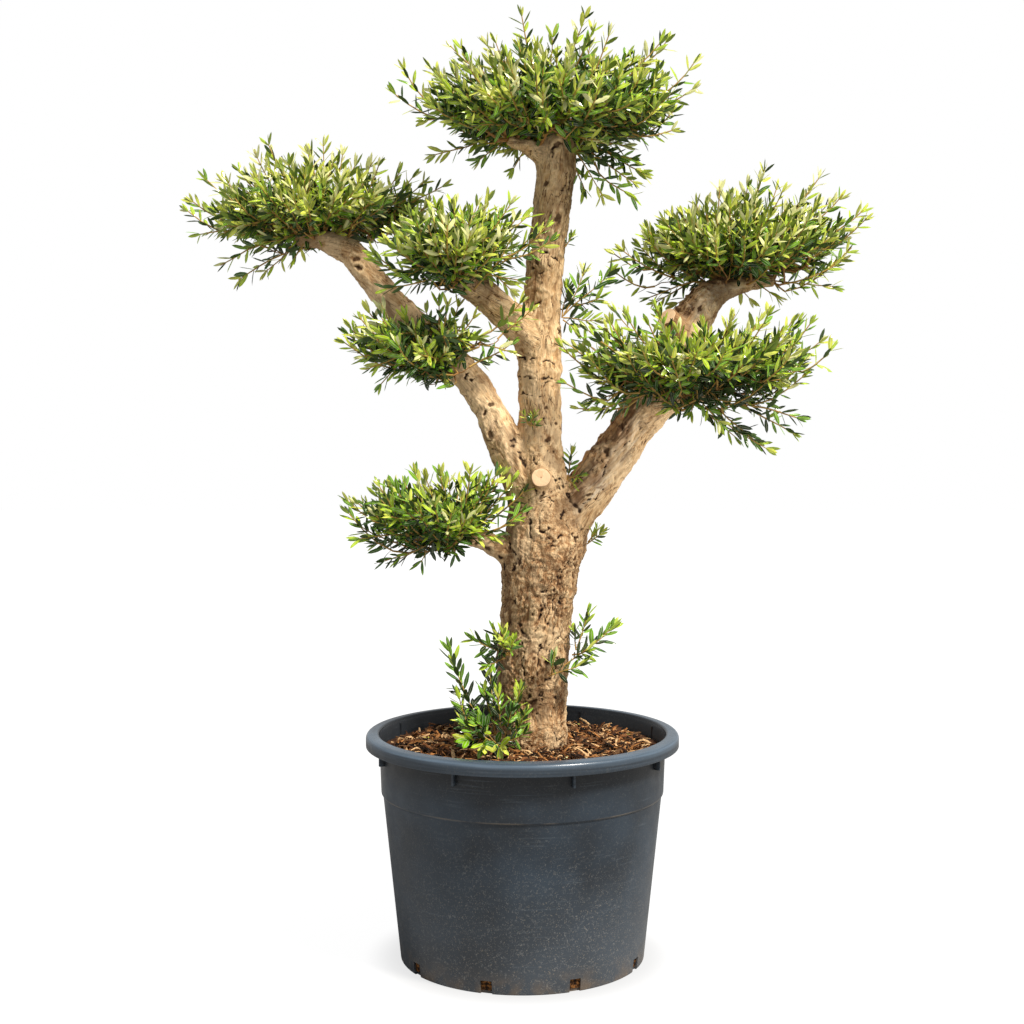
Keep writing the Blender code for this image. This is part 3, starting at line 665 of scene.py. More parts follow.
tints_given = [given[f"Tint_{number + 1}"] for number in range(len(CHIP_TINTS))]
last = dealt_finishes(tree, last, tint_of, tints_given)
shape = bmesh.new()
shape.from_mesh(bed_mesh)
beyond = [vert for vert in shape.verts if vert.co.xy.length > STREWN_RADIUS]
bmesh.ops.delete(shape, geom=beyond, context="VERTS")
chips = new_piece("mulch_chips", grown_mesh(
    tree, last, new_piece("holder", mesh_from(shape, "strewn_ground")), ids, Forms=chip_forms,
    Density=CHIPS_PER_M2, Seed=CHIP_SEED,
    **{f"Tint_{number + 1}": tint for number, tint in enumerate(chip_tints)},
))
clear_away(chip_forms)
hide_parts("mulch")
for piece in (bed, chips):
    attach(piece, "root")

# ------------------------------------------------------------------------ Wood
# One old olive: a short thick trunk, a leader, five boughs and two sawn stubs, joined softly in one skin of
# bark. The trunk is deeply furrowed and flaky. The boughs are smoother and paler, with cracks, knots, and
# scars where shoots were rubbed off.
SOIL_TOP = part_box("root_ball")[1].z
# Each limb is a line of places along its centre, with its radius at each
LIMBS = {
    "trunk": (
        (0.019, 0.000, 0.408, 0.0820), (0.021, 0.000, 0.509, 0.0709), (0.019, 0.000, 0.600, 0.0758),
        (0.030, 0.000, 0.710, 0.0736), (0.039, 0.000, 0.810, 0.0785), (0.047, 0.004, 0.880, 0.0813),
        (0.040, 0.004, 0.969, 0.0574), (0.037, 0.000, 1.088, 0.0440), (0.036, 0.000, 1.206, 0.0429),
        (0.040, 0.000, 1.333, 0.0384), (0.049, 0.000, 1.460, 0.0373), (0.063, 0.000, 1.577, 0.0382),
        (0.073, 0.000, 1.683, 0.0352), (0.078, 0.002, 1.715, 0.0250),
    ),
    "left": (
        (0.020, -0.005, 0.939, 0.0396), (-0.041, -0.010, 1.078, 0.0356), (-0.082, -0.002, 1.166, 0.0316),
        (-0.158, 0.015, 1.260, 0.0305), (-0.236, 0.035, 1.328, 0.0315), (-0.316, 0.055, 1.418, 0.0295),
        (-0.351, 0.063, 1.464, 0.0272), (-0.416, 0.078, 1.493, 0.0206), (-0.471, 0.088, 1.499, 0.0157),
    ),
    "centre": (
        (0.026, -0.006, 1.275, 0.0355), (-0.032, -0.030, 1.333, 0.0334), (-0.069, -0.055, 1.366, 0.0324),
        (-0.106, -0.085, 1.394, 0.0304), (-0.157, -0.110, 1.413, 0.0196),
    ),
    "right": (
        (0.060, 0.010, 0.840, 0.0496), (0.104, 0.012, 0.924, 0.0476), (0.174, 0.020, 1.023, 0.0470),
        (0.222, 0.030, 1.093, 0.0440), (0.268, 0.040, 1.167, 0.0434), (0.306, 0.055, 1.240, 0.0424),
        (0.364, 0.080, 1.338, 0.0394), (0.398, 0.095, 1.380, 0.0334), (0.452, 0.110, 1.402, 0.0216),
        (0.531, 0.120, 1.414, 0.0138),
    ),
    "right_arm": (
        (0.259, 0.020, 1.127, 0.0336), (0.306, 0.000, 1.160, 0.0257), (0.350, -0.025, 1.169, 0.0187),
        (0.404, -0.050, 1.178, 0.0138),
    ),
    "low_left": (
        (0.026, 0.002, 0.800, 0.0358), (-0.048, -0.014, 0.858, 0.0218), (-0.104, -0.027, 0.877, 0.0179),
        (-0.164, -0.044, 0.897, 0.0129),
    ),
    "top_left": (
        (0.061, 0.000, 1.649, 0.0235), (0.022, -0.014, 1.666, 0.0176), (-0.029, -0.030, 1.683, 0.0088),
    ),
    "front_stub": ((0.038, -0.020, 0.989, 0.0257), (0.038, -0.072, 1.003, 0.0203)),
    "right_stub": ((0.336, 0.055, 1.287, 0.0236), (0.298, 0.010, 1.331, 0.0215)),
}
SAWN = ("front_stub", "right_stub")
# Burrs and healed knots: the place and reach of each, and how far it stands proud of the bark
SWELLINGS = (
    (0.070, -0.070, 0.632, 0.030, 0.010), (0.100, 0.000, 0.880, 0.045, 0.004),
    (-0.100, -0.020, 1.150, 0.026, 0.005), (-0.345, 0.040, 1.445, 0.026, 0.005),
    (-0.098, -0.020, 1.105, 0.018, 0.007), (0.075, 0.000, 1.640, 0.034, 0.006),
    (0.036, -0.030, 1.620, 0.020, 0.003), (0.280, 0.010, 1.080, 0.024, 0.004),
    (0.010, -0.040, 1.055, 0.022, 0.003), (0.022, 0.080, 0.700, 0.034, 0.010),
    (0.100, 0.050, 1.020, 0.024, 0.006), (-0.200, 0.060, 1.290, 0.024, 0.006),
    (0.045, -0.035, 1.437, 0.020, 0.006), (0.070, -0.030, 1.530, 0.024, 0.005),
    (-0.008, -0.010, 1.255, 0.022, 0.005), (0.083, -0.005, 1.222, 0.016, 0.005),
    (0.170, 0.000, 1.100, 0.014, 0.005), (0.143, 0.000, 1.060, 0.014, 0.004),
    (0.070, 0.045, 1.380, 0.022, 0.005), (0.330, 0.110, 1.300, 0.024, 0.006),
    (-0.030, 0.050, 0.560, 0.030, 0.009),
)
# Cracks and seams in front, as the places they run through and their half width
FRONT_CRACKS = (
    (((0.054, 1.032), (0.064, 1.010), (0.076, 0.995), (0.087, 0.977), (0.107, 0.955), (0.127, 0.930)),
     0.0032),
    (((0.088, 0.931), (0.094, 0.911), (0.101, 0.891), (0.111, 0.880)), 0.0022),
    (((0.124, 0.897), (0.134, 0.895), (0.144, 0.897)), 0.0020),
    (((0.034, 0.897), (0.044, 0.895), (0.056, 0.899)), 0.0018),
    (((0.056, 0.877), (0.064, 0.883), (0.076, 0.885)), 0.0015),
    (((0.013, 1.060), (0.020, 1.048), (0.028, 1.036)), 0.0013),
    (((-0.017, 1.078), (-0.011, 1.062), (-0.005, 1.046), (0.005, 1.025)), 0.0030),
    (((0.003, 0.951), (0.009, 0.923), (0.017, 0.901), (0.026, 0.876)), 0.0022),
    (((0.054, 0.958), (0.062, 0.947), (0.058, 0.937)), 0.0012),
    (((0.015, 0.983), (0.024, 0.969), (0.038, 0.963), (0.054, 0.967), (0.062, 0.981)), 0.0026),
    (((-0.003, 0.705), (0.007, 0.693), (0.015, 0.676)), 0.0034),
    (((0.068, 0.554), (0.068, 0.538), (0.064, 0.525)), 0.0018),
    (((0.054, 0.493), (0.060, 0.479), (0.068, 0.467)), 0.0016),
    (((0.007, 0.528), (0.017, 0.522), (0.030, 0.518)), 0.0015),
    (((-0.005, 1.241), (0.026, 1.245), (0.068, 1.239)), 0.0013),
    (((-0.003, 1.202), (0.032, 1.206), (0.070, 1.202)), 0.0012),
    (((-0.003, 1.168), (0.015, 1.170), (0.042, 1.166)), 0.0011),
    (((0.021, 1.455), (0.052, 1.459), (0.076, 1.439), (0.097, 1.411)), 0.0014),
    (((0.011, 1.439), (0.017, 1.419), (0.038, 1.411), (0.054, 1.427), (0.048, 1.447)), 0.0012),
    (((0.060, 1.654), (0.066, 1.670), (0.078, 1.676)), 0.0030),
    (((-0.029, 0.865), (-0.019, 0.834), (-0.021, 0.803)), 0.0024),
    (((-0.046, 0.842), (-0.034, 0.821), (-0.038, 0.792)), 0.0024),
    (((0.156, 1.000), (0.180, 1.033), (0.217, 1.078)), 0.0011),
    (((0.130, 0.945), (0.147, 0.955), (0.165, 0.980)), 0.0011),
    (((-0.095, 1.199), (-0.107, 1.190), (-0.120, 1.199), (-0.116, 1.213), (-0.101, 1.217)), 0.0016),
    (((-0.262, 1.444), (-0.248, 1.415), (-0.252, 1.382)), 0.0012),
)
# Knot holes and scars in front: the place, and the half width and half height of each
FRONT_SCARS = (
    (0.050, 1.079, 0.0071, 0.0080), (0.064, 1.059, 0.0038, 0.0038), (0.066, 1.111, 0.0029, 0.0059),
    (0.051, 1.139, 0.0055, 0.0046), (0.037, 0.970, 0.0038, 0.0046), (0.039, 0.953, 0.0038, 0.0029),
    (0.178, 1.057, 0.0076, 0.0105), (0.196, 1.106, 0.0076, 0.0084), (0.147, 1.055, 0.0046, 0.0034),
    (0.166, 1.035, 0.0034, 0.0034), (0.107, 0.882, 0.0046, 0.0084), (0.105, 0.845, 0.0038, 0.0055),
    (-0.023, 0.855, 0.0063, 0.0038), (0.050, 0.622, 0.0063, 0.0084), (0.017, 0.728, 0.0042, 0.0038),
    (0.026, 0.637, 0.0046, 0.0034), (0.024, 0.543, 0.0071, 0.0076), (0.015, 0.567, 0.0050, 0.0038),
    (0.070, 1.524, 0.0080, 0.0170), (0.048, 1.597, 0.0080, 0.0090), (0.028, 1.433, 0.0060, 0.0090),
    (-0.108, 1.195, 0.0055, 0.0042), (-0.066, 1.150, 0.0071, 0.0092), (-0.077, 1.129, 0.0046, 0.0063),
    (-0.066, 1.094, 0.0059, 0.0088), (-0.340, 1.453, 0.0080, 0.0085), (-0.336, 1.432, 0.0060, 0.0055),
    (-0.091, 0.863, 0.0080, 0.0050), (-0.071, 0.855, 0.0080, 0.0050), (0.138, 0.966, 0.0042, 0.0055),
    (0.211, 1.113, 0.0042, 0.0055), (0.070, 1.674, 0.0071, 0.0084), (0.101, 1.595, 0.0042, 0.0105),
    (0.372, 1.348, 0.0063, 0.0063), (0.068, 0.774, 0.0034, 0.0050), (-0.013, 0.835, 0.0038, 0.0071),
    (-0.021, 0.753, 0.0029, 0.0063), (0.083, 0.671, 0.0029, 0.0046), (-0.322, 1.484, 0.0110, 0.0070),
    (0.046, 1.505, 0.0050, 0.0110), (0.030, 1.352, 0.0040, 0.0090), (0.072, 1.300, 0.0045, 0.0070),
)
# The right bough: dead, scabbed bark lies along this side of it, and along the next, which faces the
# front, pale smooth bark that is partly a painted highlight
STRIP_WAY = np.array((-0.72, -0.38, 0.58))
SUNLIT_WAY = np.array((0.05, -0.97, 0.22))
SCAR_SEED = 91
SCAR_DEPTH = 0.0020
SCAR_LIP = 0.0014
CRACK_DEPTH = 0.0022
# How far each kind of relief rises, from the broadest to the finest
FLUTE_RISE = 0.0040
LOBE_RISE = 0.0028
LUMP_RISE = 0.0034
KNUCKLE_RISE = 0.0020
PATCH_RISE = 0.0018
SCAB_RISE = 0.0050
PEELED_DEPTH = 0.0011
CAVITY_ROUNDS = 14
LIMB_STEP = 0.02
LIMB_SIDES = 28
GRADIENTS = np.array([
    (1, 1, 0), (-1, 1, 0), (1, -1, 0), (-1, -1, 0), (1, 0, 1), (-1, 0, 1), (1, 0, -1), (-1, 0, -1),
    (0, 1, 1), (0, -1, 1), (0, 1, -1), (0, -1, -1), (1, 1, 0), (0, -1, 1), (-1, 1, 0), (0, -1, -1),
], float)
SKIN_CELL = 0.0021
BLEND = 0.0075
REACH = 0.06
# The skin is cut across between these heights, so that no piece is too heavy to handle
BARK_PIECES = {"trunk_bark": (0.0, 0.93), "fork_bark": (0.93, 1.28), "bough_bark": (1.28, 3.0)}


def smooth_line(stations, step):
    """Centreline places with their radius, about one step apart, on a smooth curve through the stations."""
    stations = np.array(stations, float)
    stations = np.vstack([2 * stations[0] - stations[1], stations, 2 * stations[-1] - stations[-2]])
    line = []
    for before, start, end, after in zip(stations, stations[1:], stations[2:], stations[3:]):
        count = max(1, round(float(np.linalg.norm(end[:3] - start[:3])) / step))
        for part in range(count):
            t = part / count
            bend, twist = 2 * before - 5 * start + 4 * end - after, 3 * start - before - 3 * end + after
            line.append(0.5 * (2 * start + (end - before) * t + bend * t ** 2 + twist * t ** 3))
    return np.array([*line, stations[-2]])


def tube(shape, line, sides):
    """Adds a closed round tube along the line to the mesh."""
    rings = []
    side = Vector((0.0, 1.0, 0.0))
    for number, station in enumerate(line):
        ahead = Vector(line[min(number + 1, len(line) - 1)][:3]) - Vector(line[max(number - 1, 0)][:3])
        ahead.normalize()
        side = (side - ahead * side.dot(ahead)).normalized()
        up = ahead.cross(side)
        angles = (math.tau * part / sides for part in range(sides))
        ways = (side * math.cos(angle) + up * math.sin(angle) for angle in angles)
        rings.append([shape.verts.new(Vector(station[:3]) + way * station[3]) for way in ways])
    for near, far in zip(rings, rings[1:]):
        for part in range(sides):
            after = (part + 1) % sides
            shape.faces.new((near[part], near[after], far[after], far[part]))
    shape.faces.new(rings[0][::-1])
    shape.faces.new(rings[-1])


def keep_on(mesh, label, values, kind="FLOAT", domain="POINT"):
    """Keeps values on the mesh under a name, for its finish or its tree of nodes to read."""
    values = np.asarray(values, np.int32 if kind == "INT" else np.float32)
    kept = mesh.attributes.new(label, kind, domain)
    kept.data.foreach_set("vector" if kind == "FLOAT_VECTOR" else "value", values.ravel())


class LimbField:
    """How far places are from one limb's bark, and where they lie along and round it."""

    def __init__(self, name, stations):
        self.line = smooth_line(stations, LIMB_STEP)
        self.sawn = name in SAWN
        self.starts = self.line[:-1, :3]
        self.spans = self.line[1:, :3] - self.starts
        self.lengths = np.linalg.norm(self.spans, axis=1)
        self.run = np.concatenate([[0.0], np.cumsum(self.lengths)])
        self.end_aim = self.spans[-1] / self.lengths[-1]

    def measure(self, places):
        """Distances to the bark, unit vectors away from the centreline, and run along it."""
        offsets = places[:, None, :] - self.starts[None]
        share = np.clip((offsets * self.spans).sum(2) / self.lengths ** 2, 0, 1)
        away = offsets - share[..., None] * self.spans
        gaps = np.linalg.norm(away, axis=2)
        radii = self.line[:-1, 3] + share * (self.line[1:, 3] - self.line[:-1, 3])
        best = np.argmin(gaps - radii, axis=1)
        rows = np.arange(len(places))
        gap, radius, away = gaps[rows, best], radii[rows, best], away[rows, best]
        run = self.run[best] + share[rows, best] * self.lengths[best]
        distance = gap - radius
        aim = away / np.maximum(gap, 1e-6)[:, None]
        if self.sawn:
            past = (places - self.line[-1, :3]) @ self.end_aim
            flat = past > distance
            distance = np.where(flat, past, distance)
            aim = np.where(flat[:, None], self.end_aim, aim)
        return distance, aim, run


fields = {name: LimbField(name, stations) for name, stations in LIMBS.items()}
limb_number = {name: number for number, name in enumerate(LIMBS)}


def bark_surface(places):
    """The distance to the blended skin, the way out of it, and each limb's share of it."""
    distances = np.full((len(fields), len(places)), 1.0)
    aims = np.zeros((len(fields), len(places), 3))
    for number, field in enumerate(fields.values()):
        low, high = field.line[:, :3].min(0), field.line[:, :3].max(0)
        widest = field.line[:, 3].max() + REACH
        near = np.where(((places > low - widest) & (places < high + widest)).all(1))[0]
        distances[number, near], aims[number, near], _ = field.measure(places[near])
    shares = np.exp(-(distances - distances.min(0)) / BLEND)
    total = shares.sum(0)
    blended = distances.min(0) - BLEND * np.log(total)
    shares /= total
    out = (shares[..., None] * aims).sum(0)
    return blended, out, shares


shape = bmesh.new()
for stations in LIMBS.values():
    tube(shape, smooth_line(stations, LIMB_STEP), LIMB_SIDES)
holder = new_piece("wood_holder", mesh_from(shape, "wood"))
remesh = holder.modifiers.new("Skin", "REMESH")
remesh.mode = "VOXEL"
remesh.voxel_size = SKIN_CELL
wood_mesh = plain_mesh(holder)

# The blended skin: every point of the rough union moves onto the surface that joins the limbs softly
places = np.empty(len(wood_mesh.vertices) * 3, np.float32)
wood_mesh.vertices.foreach_get("co", places)
places = places.reshape(-1, 3).astype(float)
edges = np.empty(len(wood_mesh.edges) * 2, np.int32)
wood_mesh.edges.foreach_get("vertices", edges)
edges = edges.reshape(-1, 2)
links = np.bincount(edges.ravel(), minlength=len(places))


def neighbour_mean(values):
    """For each point of the skin, the mean of these values over its neighbours."""
    total = np.bincount(edges[:, 0], values[edges[:, 1]], minlength=len(values))
    total += np.bincount(edges[:, 1], values[edges[:, 0]], minlength=len(values))
    return total / links


for _ in range(3):
    for _ in range(2):
        places += (np.stack([neighbour_mean(places[:, axis]) for axis in range(3)], 1) - places) * 0.5
    distance, out, shares = bark_surface(places)
    square = np.maximum((out ** 2).sum(1), 0.2)
    places -= out * np.clip(distance / square, -0.01, 0.01)[:, None]
distance, out, shares = bark_surface(places)
outward = out / np.maximum(np.linalg.norm(out, axis=1), 1e-6)[:, None]


def soft_noise(points):
    """Gradient noise, about -1 to 1, at each row of points."""
    cells = np.floor(points).astype(np.int64)
    parts = points - cells
    eased = parts ** 3 * (parts * (parts * 6 - 15) + 10)
    total = np.zeros(len(points))
    for corner in ((x, y, z) for x in (0, 1) for y in (0, 1) for z in (0, 1)):
        at = cells + corner
        code = (at[:, 0] * 374761393 + at[:, 1] * 668265263 + at[:, 2] * 1440662683) & 0xFFFFFFFF
        code = ((code ^ (code >> 13)) * 1274126177) & 0xFFFFFFFF
        slopes = GRADIENTS[(code ^ (code >> 16)) & 15]
        weights = np.where(corner, eased, 1 - eased).prod(1)
        total += weights * ((parts - corner) * slopes).sum(1)
    return total


def along_limbs(points, shares):
    """For each limb: its points, its share of them, where they lie round it, how far along, its number."""
    found = []
    for number, field in enumerate(fields.values()):
        part = np.where(shares[number] > 0.03)[0]
        if len(part):
            _, aim, run = field.measure(points[part])
            radius = np.interp(run, field.run, field.line[:, 3])
            found.append((part, shares[number][part], aim * radius[:, None], run, number))
    return found


def limb_grain(spots, along, across, offset=0.0):
    """Noise drawn out along each limb: its grain is this many millimetres along and across the wood."""
    total = np.zeros(len(places))
    for part, share, round_it, run, number in spots:
        spot = round_it * (1000.0 / across)
        spot[:, 2] += run * (1000.0 / along)
        total[part] += share * soft_noise(spot + (offset, number * 5.3, 1.7))
    return total


def unit(vectors):
    return vectors / np.maximum(np.linalg.norm(vectors, axis=-1, keepdims=True), 1e-9)


def side_of_right_bough(way, start, sharpness):
    """How surely each point lies on this side of the right bough, from 0 to 1."""
    found = np.zeros(len(places))
    for part, share, round_it, _, number in bent:
        if number == limb_number["right"]:
            found[part] = share * np.clip((unit(round_it) @ way - start) * sharpness, 0, 1)
    return found


def cut_near_zero(values, width):
    """1 where the noise crosses zero, falling to 0 this far from it: a network of thin furrows."""
    return 1.0 - np.clip(np.abs(values) / width, 0, 1)


# The old bark of the trunk thins out towards the boughs, and everything is drawn along bent, uneven lines
height = places[:, 2]
trunk_share = np.clip(shares[limb_number["trunk"]] + shares[limb_number["right"]] * 0.4, 0, 1)
thick = np.maximum(np.interp(height, (0.84, 1.00), (1.0, 0.0)) * trunk_share, 0.16)
warp = np.stack([soft_noise(places * 55.0 + shift) for shift in (3.0, 17.0, 41.0)], 1) * 0.0075
warp += np.stack([soft_noise(places * 23.0 + shift) for shift in (6.0, 27.0, 35.0)], 1) * 0.0170
bent = along_limbs(places + warp, shares)
straight = along_limbs(places, shares)
lobes = soft_noise(places * 12.0 + 5.0)
lumps = soft_noise(places * 30.0 + 9.0)
knuckles = soft_noise((places + warp) * 75.0 + 2.0)
furrow_cut = cut_near_zero(limb_grain(bent, 52.0, 19.0, 4.0) - 0.10, 0.12)
flake_cut = cut_near_zero(limb_grain(bent, 24.0, 9.5, 9.0) + 0.13, 0.15)
pit_cut = np.clip((limb_grain(bent, 21.0, 5.5, 31.0) - 0.26) / 0.25, 0, 1)
crumb = limb_grain(straight, 6.0, 4.5, 14.0)
patch = limb_grain(bent, 70.0, 34.0, 24.0)
fluting = limb_grain(straight, 260.0, 42.0, 37.0)
wrinkle_cut = cut_near_zero(limb_grain(bent, 9.0, 70.0, 19.0), 0.07) * np.clip(patch * 3.0 + 0.3, 0, 1)
plate = np.clip((limb_grain(bent, 34.0, 15.0, 43.0) - 0.10) / 0.05, 0, 1)
peeled = plate * np.clip(limb_grain(straight, 140.0, 60.0, 47.0) * 4.0 + 0.35, 0, 1) * (1 - thick)
worn = np.clip(limb_grain(bent, 90.0, 40.0, 53.0) * 3.0 + 0.55, 0.1, 1)
relief = LOBE_RISE * lobes + LUMP_RISE * lumps + KNUCKLE_RISE * knuckles
relief += PATCH_RISE * patch + FLUTE_RISE * fluting
relief += thick * (0.0012 * lumps + 0.0010 * knuckles + 0.0010 * crumb) + 0.0005 * crumb
relief -= thick * worn * (0.0020 * furrow_cut + 0.0013 * flake_cut + 0.0018 * pit_cut)
relief -= (1 - thick) * (0.0009 * wrinkle_cut + 0.0007 * furrow_cut)
relief -= (1 - thick) * 0.0010 * pit_cut * np.clip(patch + 0.2, 0, 1)
relief -= PEELED_DEPTH * peeled
dark = np.clip(thick * worn * (0.38 * furrow_cut + 0.24 * flake_cut + 0.42 * pit_cut) - 0.12 * crumb, 0, 1)
young_dark = 0.36 * wrinkle_cut + (0.31 * furrow_cut + 0.34 * pit_cut) * np.clip(patch * 3.0 + 0.1, 0, 1)
dark = np.maximum(dark, (1 - thick) * young_dark)
scabby = side_of_right_bough(STRIP_WAY, 0.30, 4.0)
sunlit = side_of_right_bough(SUNLIT_WAY, 0.72, 6.0)
scab_lump = np.clip(soft_noise(places * 70.0 + 33.0) * 2.6 - 0.35, 0, 1)
relief += SCAB_RISE * scabby * scab_lump
for *middle, reach, proud in SWELLINGS:
    relief += proud * np.exp(-(((places - np.array(middle)) ** 2).sum(1)) / reach ** 2 * 2.0)
# Scars and cracks: those in front are listed, and those behind are scattered
scars = [(x, z, across, tall, -1.0) for x, z, across, tall in FRONT_SCARS]
cracks = [(line, half_width, -1.0) for line, half_width in FRONT_CRACKS]
dice = random.Random(SCAR_SEED)
for name, count in (("trunk", 30), ("left", 8), ("right", 10), ("centre", 3)):
    line = fields[name].line
    for _ in range(count):
        station = line[dice.randrange(4, len(line) - 4)]
        x = station[0] + dice.uniform(-0.8, 0.8) * station[3]
        z = station[2] + dice.uniform(-0.02, 0.02)
        if dice.random() < 0.65:
            scars.append((x, z, dice.uniform(0.003, 0.008), dice.uniform(0.003, 0.009), 1.0))
        else:
            slant = dice.uniform(-0.010, 0.010)
            line_across = ((x - 0.016, z - slant), (x, z), (x + 0.016, z + slant))
            cracks.append((line_across, dice.uniform(0.001, 0.003), 1.0))
ragged = places[:, (0, 2)] + warp[:, (0, 2)] * 0.7
ragged += np.stack([soft_noise(places * 150.0 + shift) for shift in (8.0, 29.0)], 1) * 0.0034
scarred = np.zeros(len(places))
for x, z, across, tall, facing in scars:
    spread = np.sqrt(((ragged[:, 0] - x) / across) ** 2 + ((ragged[:, 1] - z) / tall) ** 2)
    seen = np.clip(outward[:, 1] * facing * 3.0, 0, 1)
    scarred = np.maximum(scarred, np.clip(1.5 - spread * 1.3, 0, 1) * seen)
    relief += SCAR_LIP * np.exp(-((spread - 1.6) ** 2) * 3.0) * seen
broken = np.clip(0.8 + 2.4 * soft_noise(places * 90.0 + 13.0), 0.12, 1.8)
cracked = np.zeros(len(places))
for line, half_width, facing in cracks:
    seen = np.clip(outward[:, 1] * facing * 3.0, 0, 1)
    for start, end in zip(line, line[1:]):
        start, span = np.array(start), np.array(end) - np.array(start)
        share = np.clip(((ragged - start) @ span) / (span @ span), 0, 1)
        gap = np.linalg.norm(ragged - start - share[:, None] * span, axis=1)
        cracked = np.maximum(cracked, np.clip(1.5 - gap / (half_width * broken), 0, 1) * seen)
relief -= SCAR_DEPTH * scarred + CRACK_DEPTH * cracked * np.clip(broken, 0.4, 1.0)
# painted shade and highlight from the relief: how far each point lies below its smoothed neighbours
eased = relief
for _ in range(CAVITY_ROUNDS):
    eased = neighbour_mean(eased)
cavity = eased - relief
sawn_share = sum(shares[limb_number[name]] for name in SAWN)
relief *= 1.0 - 0.75 * np.clip(sawn_share, 0, 1)
relief *= np.interp(height, (SOIL_TOP, SOIL_TOP + 0.03), (0.3, 1.0))
places += outward * relief[:, None]
places[:, 2] = np.maximum(places[:, 2], SOIL_TOP + 0.0003)
wood_mesh.vertices.foreach_set("co", places.astype(np.float32).ravel())
wood_mesh.update()
# painted shade: the furrows and cracks, dark partly in their own colour, darker in every hollow; ridges paler
dark = np.clip(np.maximum(dark * 0.8, cracked * 0.42) + np.clip(cavity, 0, 1) * 220, 0, 1)
streak = 0.5 + limb_grain(bent, 90.0, 14.0, 61.0) * 1.1 + limb_grain(bent, 30.0, 6.0, 67.0) * 0.6
raised = np.clip(-cavity * 900, 0, 1)
# What the bark's finish reads: where it is dark, partly its own colour and partly painted shade, old,
# scarred, or raised and given a painted highlight, and places that run with the wood
grain_place = np.zeros((len(places), 3))
owner = shares.argmax(0)
for part, _, round_it, run, number in straight:
    mine = owner[part] == number
    grain_place[part[mine]] = (round_it + np.array((0.0, 0.0, 0.22)) * run[:, None] + 0.37 * number)[mine]
for label, values in (
    ("crevice", dark), ("old_bark", thick), ("scar", np.clip(scarred, 0, 1)), ("raised", raised),
    ("peeled", peeled), ("streak", np.clip(streak, 0, 1)), ("strip", scabby), ("sunlit", sunlit),
    ("stub", np.clip(sawn_share * 1.5 - 0.4, 0, 1)),
):
    keep_on(wood_mesh, label, values)
keep_on(wood_mesh, "grain", grain_place, "FLOAT_VECTOR")
wood_mesh.shade_smooth()


